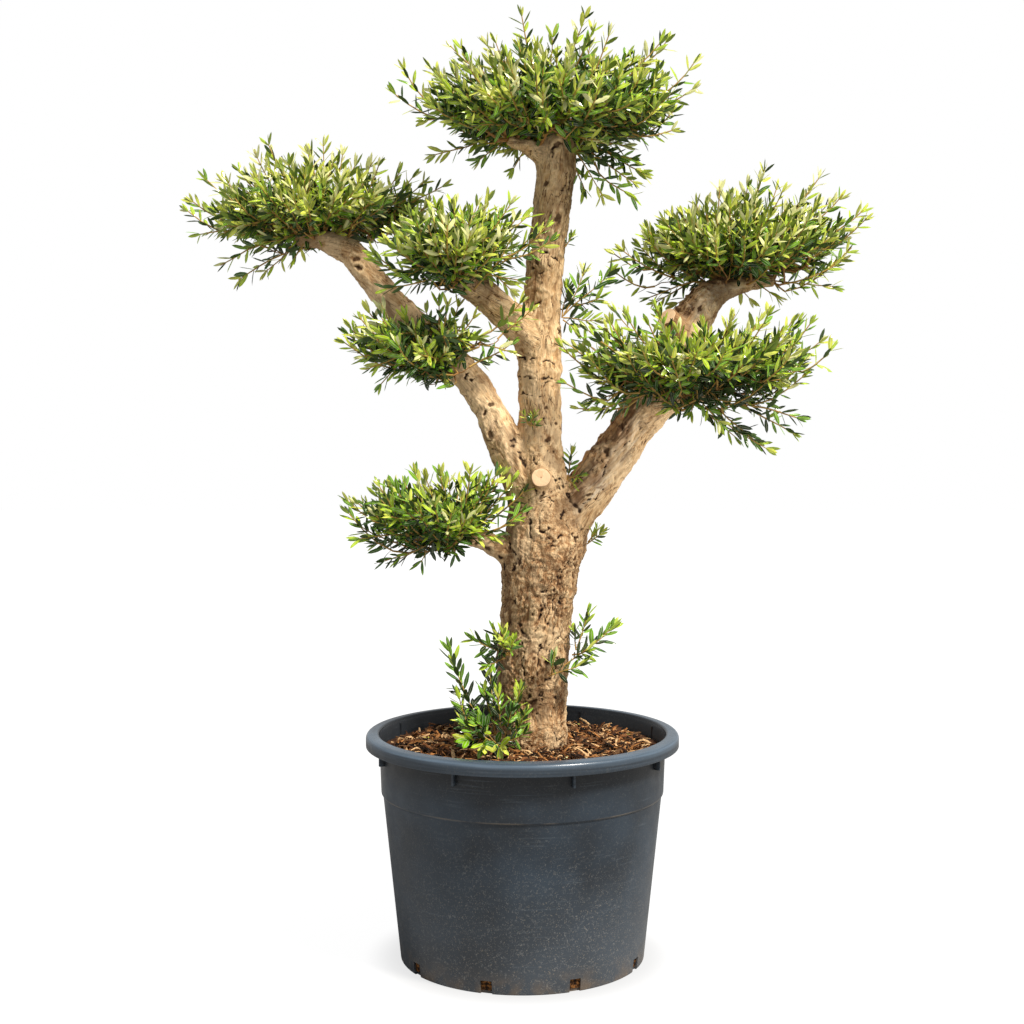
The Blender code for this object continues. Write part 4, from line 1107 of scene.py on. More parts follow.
def olive_bark():
    """Old olive bark: tan plates with dark furrows on the trunk, paler and tighter on the boughs, matt."""
    finish, tree, shader, place = new_finish("olive_bark", Roughness=0.86, Specular_IOR_Level=0.25)
    drawn_out = add_node(tree, "ShaderNodeMapping", {"Vector": place, "Scale": (1.0, 1.0, 0.4)})
    drawn_out = drawn_out.outputs["Vector"]
    along_wood = add_node(tree, "ShaderNodeAttribute", attribute_name="grain").outputs["Vector"]
    labels = ("old_bark", "streak", "raised", "sunlit", "strip", "stub", "peeled", "crevice", "scar")
    old, streak, raised, sunlit, strip, stub, peeled, crevice, scar = (
        add_node(tree, "ShaderNodeAttribute", attribute_name=label).outputs["Fac"] for label in labels
    )
    broad = mask(tree, place, 0.35, 0.65, cells=24.0, detail=4.0)
    fine = mask(tree, along_wood, 0.36, 0.62, cells=170.0, detail=4.0, warp=0.5)
    young_colour = coat(tree, coat(tree, srgb("A27A4E"), "D8B07E", broad), "EFD2A4", fine, 0.60)
    old_colour = coat(tree, coat(tree, srgb("865A34"), "DEB382", fine), "CC9C6A", broad, 0.5)
    colour = coat(tree, young_colour, old_colour, old)
    # pale and dull streaks, and a painted highlight on the ridges
    grainy = mask(tree, old, 0.1, 1.0, 0.45, 1.0)
    colour = coat(tree, colour, "EDCFA2", mask(tree, streak, 0.55, 0.95, 0.0, 0.60), grainy)
    colour = coat(tree, colour, "744E2C", mask(tree, streak, 0.42, 0.05, 0.0, 0.50), grainy)
    colour = coat(tree, colour, "F3D6A8", raised, 0.60)
    # fine dark splits that run with the wood, and pale threads between them
    splits = mask(tree, along_wood, 0.005, 0.032, 0.90, 0.0, cells=95.0, detail=2.0, warp=0.8, lines=True)
    colour = coat(tree, colour, "54381F", splits, mask(tree, place, 0.38, 0.52, cells=22.0))
    threads = mask(tree, along_wood, 0.58, 0.68, cells=210.0, detail=2.0)
    colour = coat(tree, colour, "F0D8AE", threads, mask(tree, place, 0.45, 0.60, cells=17.0), 0.6)
    # thin curling lines where the bark has cracked and rolled, closest on the old bark
    for cells, width, strength, code in ((58.0, 0.042, 0.80, "4A2E18"), (120.0, 0.070, 0.70, "583A20")):
        colour = coat(
            tree, colour, code, mask(tree, old, 0.1, 1.0, 0.30, 1.0),
            mask(tree, drawn_out, 0.004, width, strength, 0.0, cells, detail=1.5, warp=2.2, lines=True),
            mask(tree, place, 0.40, 0.56, 0.25, 1.0, cells=26.0),
        )
    # pale smooth bark on the front of the right bough, partly a painted highlight, and beside it a strip
    # where it has died back in rusty scabs
    smooth = mask(tree, along_wood, 0.42, 0.60, 0.05, 0.62, cells=130.0, detail=4.0)
    colour = coat(tree, colour, "EADBC0", sunlit, smooth)
    dead = mask(tree, place, 0.36, 0.54, 0.05, 0.46, cells=36.0, detail=4.0)
    colour = coat(tree, colour, "C69262", strip, dead)
    scabs = mask(tree, along_wood, 0.54, 0.57, 0.0, 0.80, cells=70.0, warp=0.6)
    colour = coat(tree, colour, "5E3C24", strip, scabs)
    # painted shade: the bark of the sawn stubs is darker, for the shade on their sides
    colour = coat(tree, colour, "86592F", stub, 0.65)
    # where plates have peeled, bleached or weathered, and small dark specks
    torn = mask(tree, drawn_out, 0.35, 0.55, 0.3, 0.8, cells=75.0, detail=5.0, warp=1.0)
    colour = coat(tree, colour, "7E5A38", peeled, torn)
    bleached = mask(tree, drawn_out, 0.52, 0.60, 0.0, 0.45, cells=13.0, detail=4.0, warp=0.8)
    colour = coat(tree, colour, "E8CDA4", bleached)
    weathered = mask(tree, drawn_out, 0.53, 0.62, cells=16.0, detail=5.0, warp=0.8)
    colour = coat(tree, colour, "735639", weathered, 0.58)
    colour = coat(tree, colour, "5A3E26", mask(tree, along_wood, 0.62, 0.66, cells=150.0, warp=0.8), 0.50)
    # the dark of the furrows and cracks, partly their own colour and partly painted shade in the hollows,
    # and of the scars, whose edges are ragged, partly their own dark wood and partly painted shade in the
    # pits
    colour = coat(tree, colour, "2C1B0F", mask(tree, crevice, 0.20, 0.66))
    ragged = add_node(tree, "ShaderNodeTexNoise", {"Vector": place, "Scale": 130.0, "Detail": 3.0}).outputs[0]
    ragged = add_node(tree, "ShaderNodeMath", {0: ragged, 1: 1.4, 2: scar}, operation="MULTIPLY_ADD")
    colour = coat(tree, colour, "422A17", mask(tree, ragged.outputs[0], 1.0, 1.4), 0.85)
    tree.links.new(colour, shader.inputs["Base Color"])
    # the relief that is too fine for the mesh
    crumbs = add_node(tree, "ShaderNodeTexNoise", {"Vector": along_wood, "Scale": 240.0, "Detail": 4.0})
    pits = add_node(tree, "ShaderNodeTexNoise", {"Vector": place, "Scale": 90.0, "Detail": 3.0})
    pits = add_node(
        tree, "ShaderNodeMath", {0: pits.outputs["Fac"], 1: 0.8, 2: crumbs.outputs["Fac"]},
        operation="MULTIPLY_ADD",
    )
    strength = mask(tree, old, 0.2, 1.0, 0.55, 0.95)
    relief = add_node(
        tree, "ShaderNodeBump", {"Height": pits.outputs[0], "Strength": strength, "Distance": 0.0036}
    )
    tree.links.new(relief.outputs["Normal"], shader.inputs["Normal"])
    return finish


bark = olive_bark()
face_height = np.empty(len(wood_mesh.polygons) * 3, np.float32)
wood_mesh.polygons.foreach_get("center", face_height)
face_height = face_height.reshape(-1, 3)[:, 2]
wood_pieces = []
for name, (low, high) in BARK_PIECES.items():
    shape = bmesh.new()
    shape.from_mesh(wood_mesh)
    shape.faces.ensure_lookup_table()
    others = np.where((face_height < low) | (face_height >= high))[0]
    bmesh.ops.delete(shape, geom=[shape.faces[index] for index in others], context="FACES")
    wood_pieces.append(new_piece(name, mesh_from(shape, name), bark))
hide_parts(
    "trunk", "bough_left_lower", "bough_left_upper", "bough_centre", "bough_right_lower",
    "bough_right_upper", "bough_right_arm", "bough_low_left", "bough_top_left", "stub_front", "stub_right",
)
for piece in wood_pieces:
    filled.objects.link(piece)
    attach(piece, "root")


# ------------------------------------------------------------------- Cut faces
# Sapwood laid bare where two boughs were sawn off: a thin disc over the end of each stub. The wood is pale
# and dry, with growth rings round its pith and a lip of bark left round its edge.
CUT_RINGS = 10
CUT_SIDES = 60
CUT_REACH = 0.93
CUT_PROUD = 0.0016
CUT_ROUND = 0.0007
CUT_DEPTH = 0.004


def sawn_sapwood():
    """End grain of olive wood: honey coloured, rings a millimetre and a half apart, darker at the pith."""
    finish, tree, shader, place = new_finish("sawn_sapwood", Roughness=0.7, Specular_IOR_Level=0.3)
    from_pith = add_node(tree, "ShaderNodeAttribute", attribute_name="from_pith").outputs["Fac"]
    uneven = add_node(tree, "ShaderNodeTexNoise", {"Vector": place, "Scale": 130.0, "Detail": 4.0})
    uneven = uneven.outputs["Fac"]
    turns = add_node(tree, "ShaderNodeMath", {0: from_pith, 1: 4200.0}, operation="MULTIPLY").outputs[0]
    turns = add_node(tree, "ShaderNodeMath", {0: uneven, 1: 9.0, 2: turns}, operation="MULTIPLY_ADD")
    ring = add_node(tree, "ShaderNodeMath", {0: turns.outputs[0]}, operation="SINE").outputs[0]
    ring = mask(tree, ring, -0.2, 1.0)
    colour = coat(tree, srgb("F5D6AE"), "E6B98A", ring)
    colour = coat(tree, colour, "8A5A30", mask(tree, from_pith, 0.0006, 0.0030, 0.8, 0.0))
    colour = coat(tree, colour, "B98550", mask(tree, place, 0.52, 0.70, 0.0, 0.5, cells=60.0))
    tree.links.new(colour, shader.inputs["Base Color"])
    marks = add_node(tree, "ShaderNodeBump", {"Height": ring, "Strength": 0.3, "Distance": 0.0003})
    tree.links.new(marks.outputs["Normal"], shader.inputs["Normal"])
    return finish


corners = []
faces = []
from_pith = []
for name in SAWN:
    end, aim = fields[name].line[-1], Vector(fields[name].end_aim)
    side = aim.orthogonal().normalized()
    up = aim.cross(side)
    centre = Vector(end[:3]) + aim * CUT_PROUD
    first = len(corners)
    corners.append(centre)
    from_pith.append(0.0)
    for ring in range(1, CUT_RINGS + 2):
        share = min(ring / CUT_RINGS, 1.0)
        sunk = CUT_DEPTH if ring > CUT_RINGS else CUT_ROUND * share ** 8
        for part in range(CUT_SIDES):
            angle = math.tau * part / CUT_SIDES
            way = side * math.cos(angle) + up * math.sin(angle)
            reach = end[3] * share * (CUT_REACH + 0.09 * noise.noise(way * 1.7 + centre * 60.0))
            at = centre + way * reach
            corners.append(at - aim * (sunk + 0.0004 * noise.noise(at * 300.0)))
            from_pith.append(end[3] * share)
    for part in range(CUT_SIDES):
        after = (part + 1) % CUT_SIDES
        faces.append((first, first + 1 + part, first + 1 + after))
        for near in range(first + 1, first + 1 + CUT_RINGS * CUT_SIDES, CUT_SIDES):
            far = near + CUT_SIDES
            faces.append((near + part, far + part, far + after, near + after))
cut_mesh = bpy.data.meshes.new("cut_faces")
cut_mesh.from_pydata(corners, [], faces)
keep_on(cut_mesh, "from_pith", from_pith)
smooth_with_edges(cut_mesh, 50)
cut_faces = new_piece("cut_faces", cut_mesh, sawn_sapwood())
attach(cut_faces, "root")


# ----------------------------------------------------------------------- Crown
# Seven clipped pads of leaf. Twigs branch again and again from the limb inside each pad to its shoots, and
# the shoots bear narrow opposite leaves: dark green inside, and fresh yellow-green on this year's growth.
PADS = {
    "foliage_top": (("trunk", "top_left"), (0.046, 0.000, 1.729), (
        (-0.263, 1.785), (-0.243, 1.835), (-0.192, 1.845), (-0.147, 1.881), (-0.129, 1.885),
        (-0.072, 1.879), (-0.054, 1.883), (-0.003, 1.943), (0.062, 1.897), (0.127, 1.927), (0.145, 1.913),
        (0.174, 1.893), (0.213, 1.861), (0.249, 1.845), (0.294, 1.889), (0.282, 1.885), (0.349, 1.843),
        (0.355, 1.799), (0.315, 1.707), (0.248, 1.620), (0.232, 1.600), (0.228, 1.574), (0.165, 1.566),
        (0.130, 1.578), (-0.019, 1.628), (-0.091, 1.648), (-0.184, 1.662), (-0.203, 1.719),
        (-0.115, 1.853), (0.030, 1.869), (0.101, 1.873))),
    "foliage_left": (("left",), (-0.426, 0.100, 1.528), (
        (-0.701, 1.582), (-0.697, 1.553), (-0.665, 1.624), (-0.640, 1.630), (-0.595, 1.643),
        (-0.536, 1.699), (-0.555, 1.674), (-0.488, 1.667), (-0.452, 1.690), (-0.421, 1.703),
        (-0.440, 1.680), (-0.375, 1.674), (-0.314, 1.657), (-0.297, 1.651), (-0.259, 1.636),
        (-0.228, 1.632), (-0.198, 1.620), (-0.165, 1.607), (-0.685, 1.503), (-0.633, 1.442),
        (-0.600, 1.413), (-0.543, 1.426), (-0.477, 1.451), (-0.577, 1.626), (-0.513, 1.659),
        (-0.394, 1.663), (-0.619, 1.618))),
    "foliage_centre": (("centre",), (-0.133, -0.120, 1.431), (
        (-0.137, 1.551), (-0.170, 1.543), (-0.159, 1.539), (-0.206, 1.509), (-0.117, 1.513),
        (-0.088, 1.545), (-0.068, 1.554), (-0.024, 1.541), (-0.007, 1.525), (0.015, 1.527),
        (-0.257, 1.490), (-0.273, 1.474), (-0.295, 1.449), (-0.291, 1.435), (-0.272, 1.376),
        (-0.236, 1.506), (-0.242, 1.412), (0.023, 1.490), (0.052, 1.506), (0.060, 1.474), (-0.009, 1.396),
        (-0.023, 1.378), (-0.186, 1.502), (-0.101, 1.509), (-0.046, 1.525))),
    "foliage_inner_left": (("left",), (-0.164, -0.100, 1.259), (
        (-0.354, 1.295), (-0.344, 1.302), (-0.321, 1.322), (-0.309, 1.338), (-0.278, 1.346),
        (-0.354, 1.273), (-0.320, 1.245), (-0.310, 1.219), (-0.284, 1.191), (-0.244, 1.203),
        (-0.202, 1.207), (-0.155, 1.205), (-0.164, 1.354), (-0.146, 1.352), (-0.128, 1.350),
        (-0.114, 1.318), (-0.094, 1.328), (0.021, 1.342), (-0.003, 1.354), (-0.019, 1.273),
        (-0.023, 1.253), (-0.081, 1.235), (-0.236, 1.326), (-0.194, 1.342))),
    "foliage_low_left": (("low_left",), (-0.147, -0.060, 0.900), (
        (-0.350, 0.957), (-0.338, 0.959), (-0.354, 0.929), (-0.334, 0.906), (-0.336, 0.880),
        (-0.305, 0.983), (-0.293, 0.985), (-0.271, 0.989), (-0.256, 0.987), (-0.240, 0.996),
        (-0.222, 1.016), (-0.167, 1.010), (-0.149, 1.002), (-0.129, 0.996), (-0.104, 1.024),
        (-0.086, 1.000), (-0.066, 1.002), (-0.049, 1.018), (-0.037, 1.016), (-0.017, 1.000),
        (0.009, 0.981), (0.001, 0.937), (-0.015, 0.918), (-0.050, 0.886), (-0.306, 0.865), (-0.290, 0.831),
        (-0.249, 0.839), (-0.204, 0.833), (-0.133, 0.843), (-0.194, 0.998))),
    "foliage_right": (("right",), (0.430, 0.120, 1.431), (
        (0.192, 1.473), (0.205, 1.476), (0.192, 1.436), (0.255, 1.507), (0.275, 1.503), (0.298, 1.511),
        (0.319, 1.551), (0.331, 1.553), (0.351, 1.551), (0.371, 1.581), (0.389, 1.566), (0.414, 1.608),
        (0.435, 1.583), (0.460, 1.591), (0.475, 1.618), (0.496, 1.618), (0.508, 1.647), (0.543, 1.614),
        (0.551, 1.604), (0.587, 1.574), (0.604, 1.597), (0.625, 1.627), (0.657, 1.583), (0.682, 1.597),
        (0.714, 1.557), (0.723, 1.541), (0.688, 1.478), (0.678, 1.457), (0.657, 1.444), (0.661, 1.400),
        (0.260, 1.374), (0.284, 1.368), (0.330, 1.366), (0.483, 1.372), (0.545, 1.374))),
    "foliage_inner_right": (("right_arm", "right"), (0.337, -0.080, 1.189), (
        (0.079, 1.267), (0.091, 1.273), (0.109, 1.293), (0.128, 1.299), (0.162, 1.303), (0.188, 1.339),
        (0.174, 1.317), (0.208, 1.327), (0.246, 1.319), (0.266, 1.339), (0.276, 1.327), (0.308, 1.299),
        (0.356, 1.299), (0.082, 1.195), (0.106, 1.143), (0.130, 1.151), (0.158, 1.141), (0.426, 1.331),
        (0.412, 1.319), (0.440, 1.289), (0.466, 1.303), (0.490, 1.337), (0.478, 1.323), (0.516, 1.299),
        (0.544, 1.321), (0.556, 1.315), (0.580, 1.317), (0.609, 1.283), (0.619, 1.265), (0.565, 1.211),
        (0.542, 1.197), (0.552, 1.123), (0.549, 1.089), (0.493, 1.061), (0.472, 1.075), (0.432, 1.085),
        (0.391, 1.115), (0.293, 1.139), (0.337, 1.135))),
}
SHOOT_GAP = 0.037
# A pad's underside, where the way out falls below this, has fewer shoots
UNDERSIDE = -0.35
UNDERSIDE_BARE = 0.40
INNER_LAYERS = ((0.034, 0.052), (0.068, 0.075))
SHOOT_LENGTHS = (0.075, 0.130)
OUTER_LENGTHS = (0.085, 0.150)
TWIG_STEP = 0.016
TWIG_REACHED = 0.020
TWIG_PIPE = 0.0011
TWIG_SIDES = 5
STEM_SIDES = 4
STEM_PARTS = 5
PAIR_GAP = 0.0098
OUTER_PAIR_GAP = 0.0145
OUTER_LEAF_SHARE = 0.98
BARE_SHARE = 0.18
STEM_RADII = (0.0021, 0.0011)
TWIG_THICKEST = 0.014
LEAF_LENGTH = 0.0325
# The width, the droop and the fold of each form of leaf, for a length of one. The last is broad and
# juvenile.
LEAF_FORMS = (
    (0.24, 0.05, 0.030), (0.28, 0.10, 0.036), (0.22, -0.04, 0.030), (0.26, 0.16, 0.026),
    (0.37, 0.08, 0.040),
)
# From dark old leaves, which also stand for painted shade, to the newest at the tips, which have a paler
# back from this tint on
LEAF_TINTS = ("1B3A04", "37660A", "72A30E", "AECA24", "CBD44C", "E0E29A")
YOUNG_TINT = 4
# The pale rib and margin: partly the leaf's own colour and partly a painted highlight
LINE_TINT = "F2F2D8"
# Half a leaf outline: how far along its length, and the share of its width from the rib there
LEAF_OUTLINE = ((0.17, 0.31), (0.47, 0.50), (0.79, 0.38))
LINE_SHARE = 0.30
# Each pad's tints moved paler or darker as a whole: partly age and partly painted light and shade
PAD_LIGHT_AND_YOUTH = {
    "foliage_right": 0.7, "foliage_left": 0.8, "foliage_top": 0.3, "foliage_centre": 0.3,
    "foliage_low_left": -0.5, "foliage_inner_right": -0.2,
}
# Undersides, old and young: darker than olive's silvery backs, as painted shade on a pad's lower side
UNDER_TINTS = ("3F5724", "8AA042")
LEAVES_PER_PIECE = 10500
CARRIED_BY_LEAVES = (("turn", "QUATERNION"), ("length", "FLOAT"), ("form", "INT"), ("tint", "INT"))
CROWN_SEED = 7
# The sawn right stub stays in sight: no shoot ends in front of it
CLEAR_PLACE = np.array((0.300, 0.045, 1.335))
CLEAR_REACH = 0.036


def pad_skin(node):
    """The pad's clipped outline as corner and triangle arrays, its spikes eased off."""
    source = frame["nodes"][node]
    shape = bmesh.new()
    shape.from_mesh(source.data)
    bmesh.ops.transform(shape, matrix=source.matrix_world, verts=shape.verts)
    bmesh.ops.remove_doubles(shape, verts=shape.verts, dist=1e-5)
    for _ in range(2):
        bmesh.ops.smooth_vert(
            shape, verts=shape.verts, factor=0.5, use_axis_x=True, use_axis_y=True, use_axis_z=True
        )
    bmesh.ops.triangulate(shape, faces=shape.faces)
    shape.verts.index_update()
    corners = np.array([vert.co[:] for vert in shape.verts])
    faces = np.array([[vert.index for vert in face.verts] for face in shape.faces])
    shape.free()
    return corners, faces


def strewn_over(corners, faces, gap, luck):
    """Places on the skin no nearer each other than the gap, and the way out at each."""
    first, second, third = (corners[faces[:, place]] for place in range(3))
    normals = np.cross(second - first, third - first)
    areas = np.linalg.norm(normals, axis=1) / 2
    count = int(areas.sum() / gap ** 2 * 7)
    picked = luck.choice(len(faces), count, p=areas / areas.sum())
    share, other = luck.random((2, count, 1))
    share = np.sqrt(share)
    tries = first[picked] * (1 - share) + second[picked] * share * (1 - other)
    tries = tries + third[picked] * share * other
    kept, cells = [], {}
    for number, place in enumerate(tries):
        cell = tuple(int(value) for value in np.floor(place / gap))
        near = (
            other for x in (-1, 0, 1) for y in (-1, 0, 1) for z in (-1, 0, 1)
            for other in cells.get((cell[0] + x, cell[1] + y, cell[2] + z), ())
        )
        if all(((tries[other] - place) ** 2).sum() >= gap ** 2 for other in near):
            cells.setdefault(cell, []).append(number)
            kept.append(number)
    return tries[kept], unit(normals[picked[kept]])


def pad_shoots(corners, faces, hub, skin, luck):
    """The tip, the aim at the tip, the length and the depth of every shoot that fills this pad."""
    tips, aims, lengths, depths = [], [], [], []
    for depth, gap in ((0.0, SHOOT_GAP), *INNER_LAYERS):
        places, outs = strewn_over(corners, faces, gap, luck)
        for place, out in zip(places, outs):
            below = out[2] < UNDERSIDE
            if below and luck.random() < UNDERSIDE_BARE:
                continue
            lobe = max(0.0, noise.noise(Vector(place * 12.0) + Vector((3.0, 0.0, 9.0))) * 0.060)
            tip = place - out * (luck.uniform(0.000, 0.034) + lobe + depth + 0.012 * below)
            if depth and skin.find_nearest(Vector(tip))[3] < depth * 0.8:
                continue
            spread = unit(tip - hub)
            if below:
                aim = spread * np.array((1.0, 1.0, 0.3)) + luck.normal(0.0, 0.25, 3)
            else:
                aim = spread * 0.65 + out * 0.20 + np.array((0.0, 0.0, 0.65)) + luck.normal(0.0, 0.16, 3)
            tips.append(tip)
            aims.append(aim)
            lengths.append(luck.uniform(*SHOOT_LENGTHS))
            depths.append(depth)
    return np.array(tips), unit(np.array(aims)), np.array(lengths), np.array(depths)


def branch_out(seeds, goals, luck):
    """Twigs that grow a step at a time from the seeds to every goal: places, parents, each goal's place."""
    places, parents = [*seeds], [-1] * len(seeds)
    gaps = np.linalg.norm(goals[:, None] - seeds[None], axis=2)
    nearest, gap = gaps.argmin(1), gaps.min(1)
    homes = np.full(len(goals), -1)
    stalls = np.zeros(len(goals), int)
    for _ in range(90):
        arrived = (homes < 0) & ((gap < TWIG_REACHED) | (stalls > 2))
        homes[arrived] = nearest[arrived]
        waiting = np.where(homes < 0)[0]
        if not len(waiting):
            break
        first = len(places)
        for owner in np.unique(nearest[waiting]):
            pulls = unit(goals[waiting[nearest[waiting] == owner]] - places[owner])
            way = pulls.mean(0) + luck.normal(0.0, 0.10, 3)
            if parents[owner] >= 0:
                way = way + 0.40 * unit(places[owner] - places[parents[owner]])
            places.append(places[owner] + unit(way) * TWIG_STEP)
            parents.append(int(owner))
        fresh = np.array(places[first:])
        gaps = np.linalg.norm(goals[waiting][:, None] - fresh[None], axis=2)
        closer = gaps.min(1) < gap[waiting] - 1e-4
        gap[waiting[closer]] = gaps.min(1)[closer]
        nearest[waiting[closer]] = first + gaps.argmin(1)[closer]
        stalls[waiting[~closer]] += 1
    homes[homes < 0] = nearest[homes < 0]
    return np.array(places), np.array(parents), homes


def line_mesh(name, places, edges, thickness):
    """A mesh of bare edges, with the wood's radius at each point."""
    mesh = bpy.data.meshes.new(name)
    mesh.from_pydata(places, edges, [])
    keep_on(mesh, "thickness", thickness)
    return mesh


def curves_through(starts, tips, leaves, aims, parts):
    """Points along the smooth curve of every shoot, and its direction there: shoots by parts by three."""
    reach = np.linalg.norm(tips - starts, axis=1, keepdims=True)
    controls = np.stack([starts, starts + leaves * reach * 0.35, tips - aims * reach * 0.38, tips])
    t = parts[None, :, None]
    first, second, third, fourth = (control[:, None, :] for control in controls)
    places = (1 - t) ** 3 * first + 3 * (1 - t) ** 2 * t * second
    places = places + 3 * (1 - t) * t ** 2 * third + t ** 3 * fourth
    ways = (1 - t) ** 2 * (second - first) + 2 * (1 - t) * t * (third - second) + t ** 2 * (fourth - third)
    return places, unit(ways)


def leaf_form(name, width, droop, fold):
    """One closed leaf a metre long along X, face up: an upper side ridged by its rib, a flat underside."""
    shape = bmesh.new()

    def corner(along, across, lift=0.0):
        return shape.verts.new((along, across, lift - droop * along ** 2))

    base, tip = corner(0.0, 0.0), corner(1.0, 0.0)
    left = [corner(along, width * share) for along, share in LEAF_OUTLINE]
    right = [corner(along, -width * share) for along, share in LEAF_OUTLINE]
    ridge = [corner(along, 0.0, fold) for along, _ in LEAF_OUTLINE]
    upper_faces = [
        (base, ridge[0], left[0]), (left[-1], ridge[-1], tip),
        (base, right[0], ridge[0]), (ridge[-1], right[-1], tip),
    ]
    lower_faces = [(base, left[0], right[0]), (left[-1], tip, right[-1])]
    for near in range(len(LEAF_OUTLINE) - 1):
        far = near + 1
        upper_faces.append((left[near], ridge[near], ridge[far], left[far]))
        upper_faces.append((ridge[near], right[near], right[far], ridge[far]))
        lower_faces.append((left[near], left[far], right[far], right[near]))
    for face in (*upper_faces, *lower_faces):
        shape.faces.new(face)
    bmesh.ops.recalc_face_normals(shape, faces=shape.faces)
    mesh = mesh_from(shape, name)
    keep_on(mesh, "under", [0] * len(upper_faces) + [1] * len(lower_faces), "INT", "FACE")
    to_rib = np.repeat((0.5, 0.0, 1.0), (2, 2 * len(LEAF_OUTLINE), len(LEAF_OUTLINE)))
    keep_on(mesh, "to_rib", to_rib)
    return mesh


def olive_leaf(name, code, roughness, lines):
    """Leathery olive leaves of one age: a soft sheen, and each patch of the crown a little off its tint."""
    finish, tree, shader, place = new_finish(name, Roughness=roughness, Specular_IOR_Level=0.58)
    spread = mask(tree, place, 0.35, 0.65, 0.78, 1.20, cells=55.0, detail=2.0)
    tint = add_node(tree, "ShaderNodeVectorMath", {0: srgb(code)[:3], "Scale": spread}, operation="SCALE")
    # a pale rib down the middle and a pale rolled margin, partly the leaf's own and partly a painted
    # highlight
    to_rib = add_node(tree, "ShaderNodeAttribute", attribute_name="to_rib").outputs["Fac"]
    rib = mask(tree, to_rib, 0.80, 0.95, 0.0, lines)
    margin = mask(tree, to_rib, 0.20, 0.08, 0.0, lines)
    drawn = add_node(tree, "ShaderNodeMath", {0: rib, 1: margin}, operation="MAXIMUM").outputs[0]
    tree.links.new(coat(tree, tint.outputs["Vector"], LINE_TINT, drawn), shader.inputs["Base Color"])
    return finish


def twig_bark(name, dull, fresh):
    """The smooth bark of thin twigs, dull and fresh in patches."""
    finish, tree, shader, place = new_finish(name, Roughness=0.6, Specular_IOR_Level=0.4)
    patch = add_node(tree, "ShaderNodeTexNoise", {"Vector": place, "Scale": 40.0, "Detail": 3.0})
    tree.links.new(coat(tree, srgb(dull), fresh, patch.outputs["Fac"]), shader.inputs["Base Color"])
    return finish


leaf_faces = [
    olive_leaf(f"olive_leaf_{number + 1}", code, 0.22, LINE_SHARE) for number, code in enumerate(LEAF_TINTS)
]
leaf_backs = [
    olive_leaf(f"olive_leaf_underside_{number + 1}", code, 0.6, 0.0)
    for number, code in enumerate(UNDER_TINTS)
]
twig_finish = twig_bark("twig_bark", "7E5430", "B88648")
stem_finish = twig_bark("young_stem", "A67A3C", "CFAE5E")
leaf_forms = form_set("leaf_forms", [
    leaf_form(f"leaf_{number + 1}", *looks) for number, looks in enumerate(LEAF_FORMS)
])

# Leaves: each point carries its own turn, length, form and tint, and becomes one of the leaf forms
leaf_tree, given, leaf_ids = new_tree(
    "leaves", Forms="Collection", Old_Back="Material", Young_Back="Material",
    **{f"Tint_{number + 1}": "Material" for number in range(len(LEAF_TINTS))},
)
carried = {}
for label, kind in CARRIED_BY_LEAVES:
    reader = add_node(leaf_tree, "GeometryNodeInputNamedAttribute", {"Name": label}, data_type=kind)
    carried[label] = reader.outputs[0]
under = add_node(leaf_tree, "GeometryNodeInputNamedAttribute", {"Name": "under"}, data_type="INT").outputs[0]
placed = laid_out(
    leaf_tree, given["Forms"], given["Geometry"], carried["form"], carried["turn"], carried["length"]
)
leaf_last = add_node(leaf_tree, "GeometryNodeRealizeInstances", {"Geometry": placed}).outputs[0]
faces_given = [given[f"Tint_{number + 1}"] for number in range(len(LEAF_TINTS))]
leaf_last = dealt_finishes(leaf_tree, leaf_last, carried["tint"], faces_given)
for kind, operation in (("Old_Back", "LESS_THAN"), ("Young_Back", "GREATER_EQUAL")):
    of_age = add_node(
        leaf_tree, "FunctionNodeCompare", {2: carried["tint"], 3: YOUNG_TINT},
        data_type="INT", operation=operation,
    ).outputs[0]
    chosen = add_node(
        leaf_tree, "FunctionNodeBooleanMath", {0: under, 1: of_age}, operation="AND"
    ).outputs[0]
    leaf_last = add_node(
        leaf_tree, "GeometryNodeSetMaterial",
        {"Geometry": leaf_last, "Selection": chosen, "Material": given[kind]},
    ).outputs[0]

# Twigs and stems: round wood along the drawn edges, as thick as each point says
twig_tree, given, twig_ids = new_tree("twigs", Sides="Int", Bark="Material")
lines = add_node(twig_tree, "GeometryNodeMeshToCurve", {"Mesh": given["Geometry"]}).outputs[0]
ring = add_node(
    twig_tree, "GeometryNodeCurvePrimitiveCircle", {"Resolution": given["Sides"], "Radius": 1.0}
).outputs[0]
thickness = add_node(
    twig_tree, "GeometryNodeInputNamedAttribute", {"Name": "thickness"}, data_type="FLOAT"
).outputs[0]
rounded = add_node(twig_tree, "GeometryNodeCurveToMesh", {
    "Curve": lines, "Profile Curve": ring, "Scale": thickness, "Fill Caps": True,
}).outputs[0]
realized = add_node(twig_tree, "GeometryNodeRealizeInstances", {"Geometry": rounded}).outputs[0]
twig_last = add_node(
    twig_tree, "GeometryNodeSetMaterial", {"Geometry": realized, "Material": given["Bark"]}
).outputs[0]


def turned_to(ways, faces):
    """Quaternions that lay a leaf's length along each way with its face turned as near as can be."""
    across = unit(np.cross(faces, ways))
    faces = np.cross(ways, across)
    turns = (Matrix(rows).transposed().to_quaternion() for rows in zip(ways, across, faces))
    return np.array([turn[:] for turn in turns])


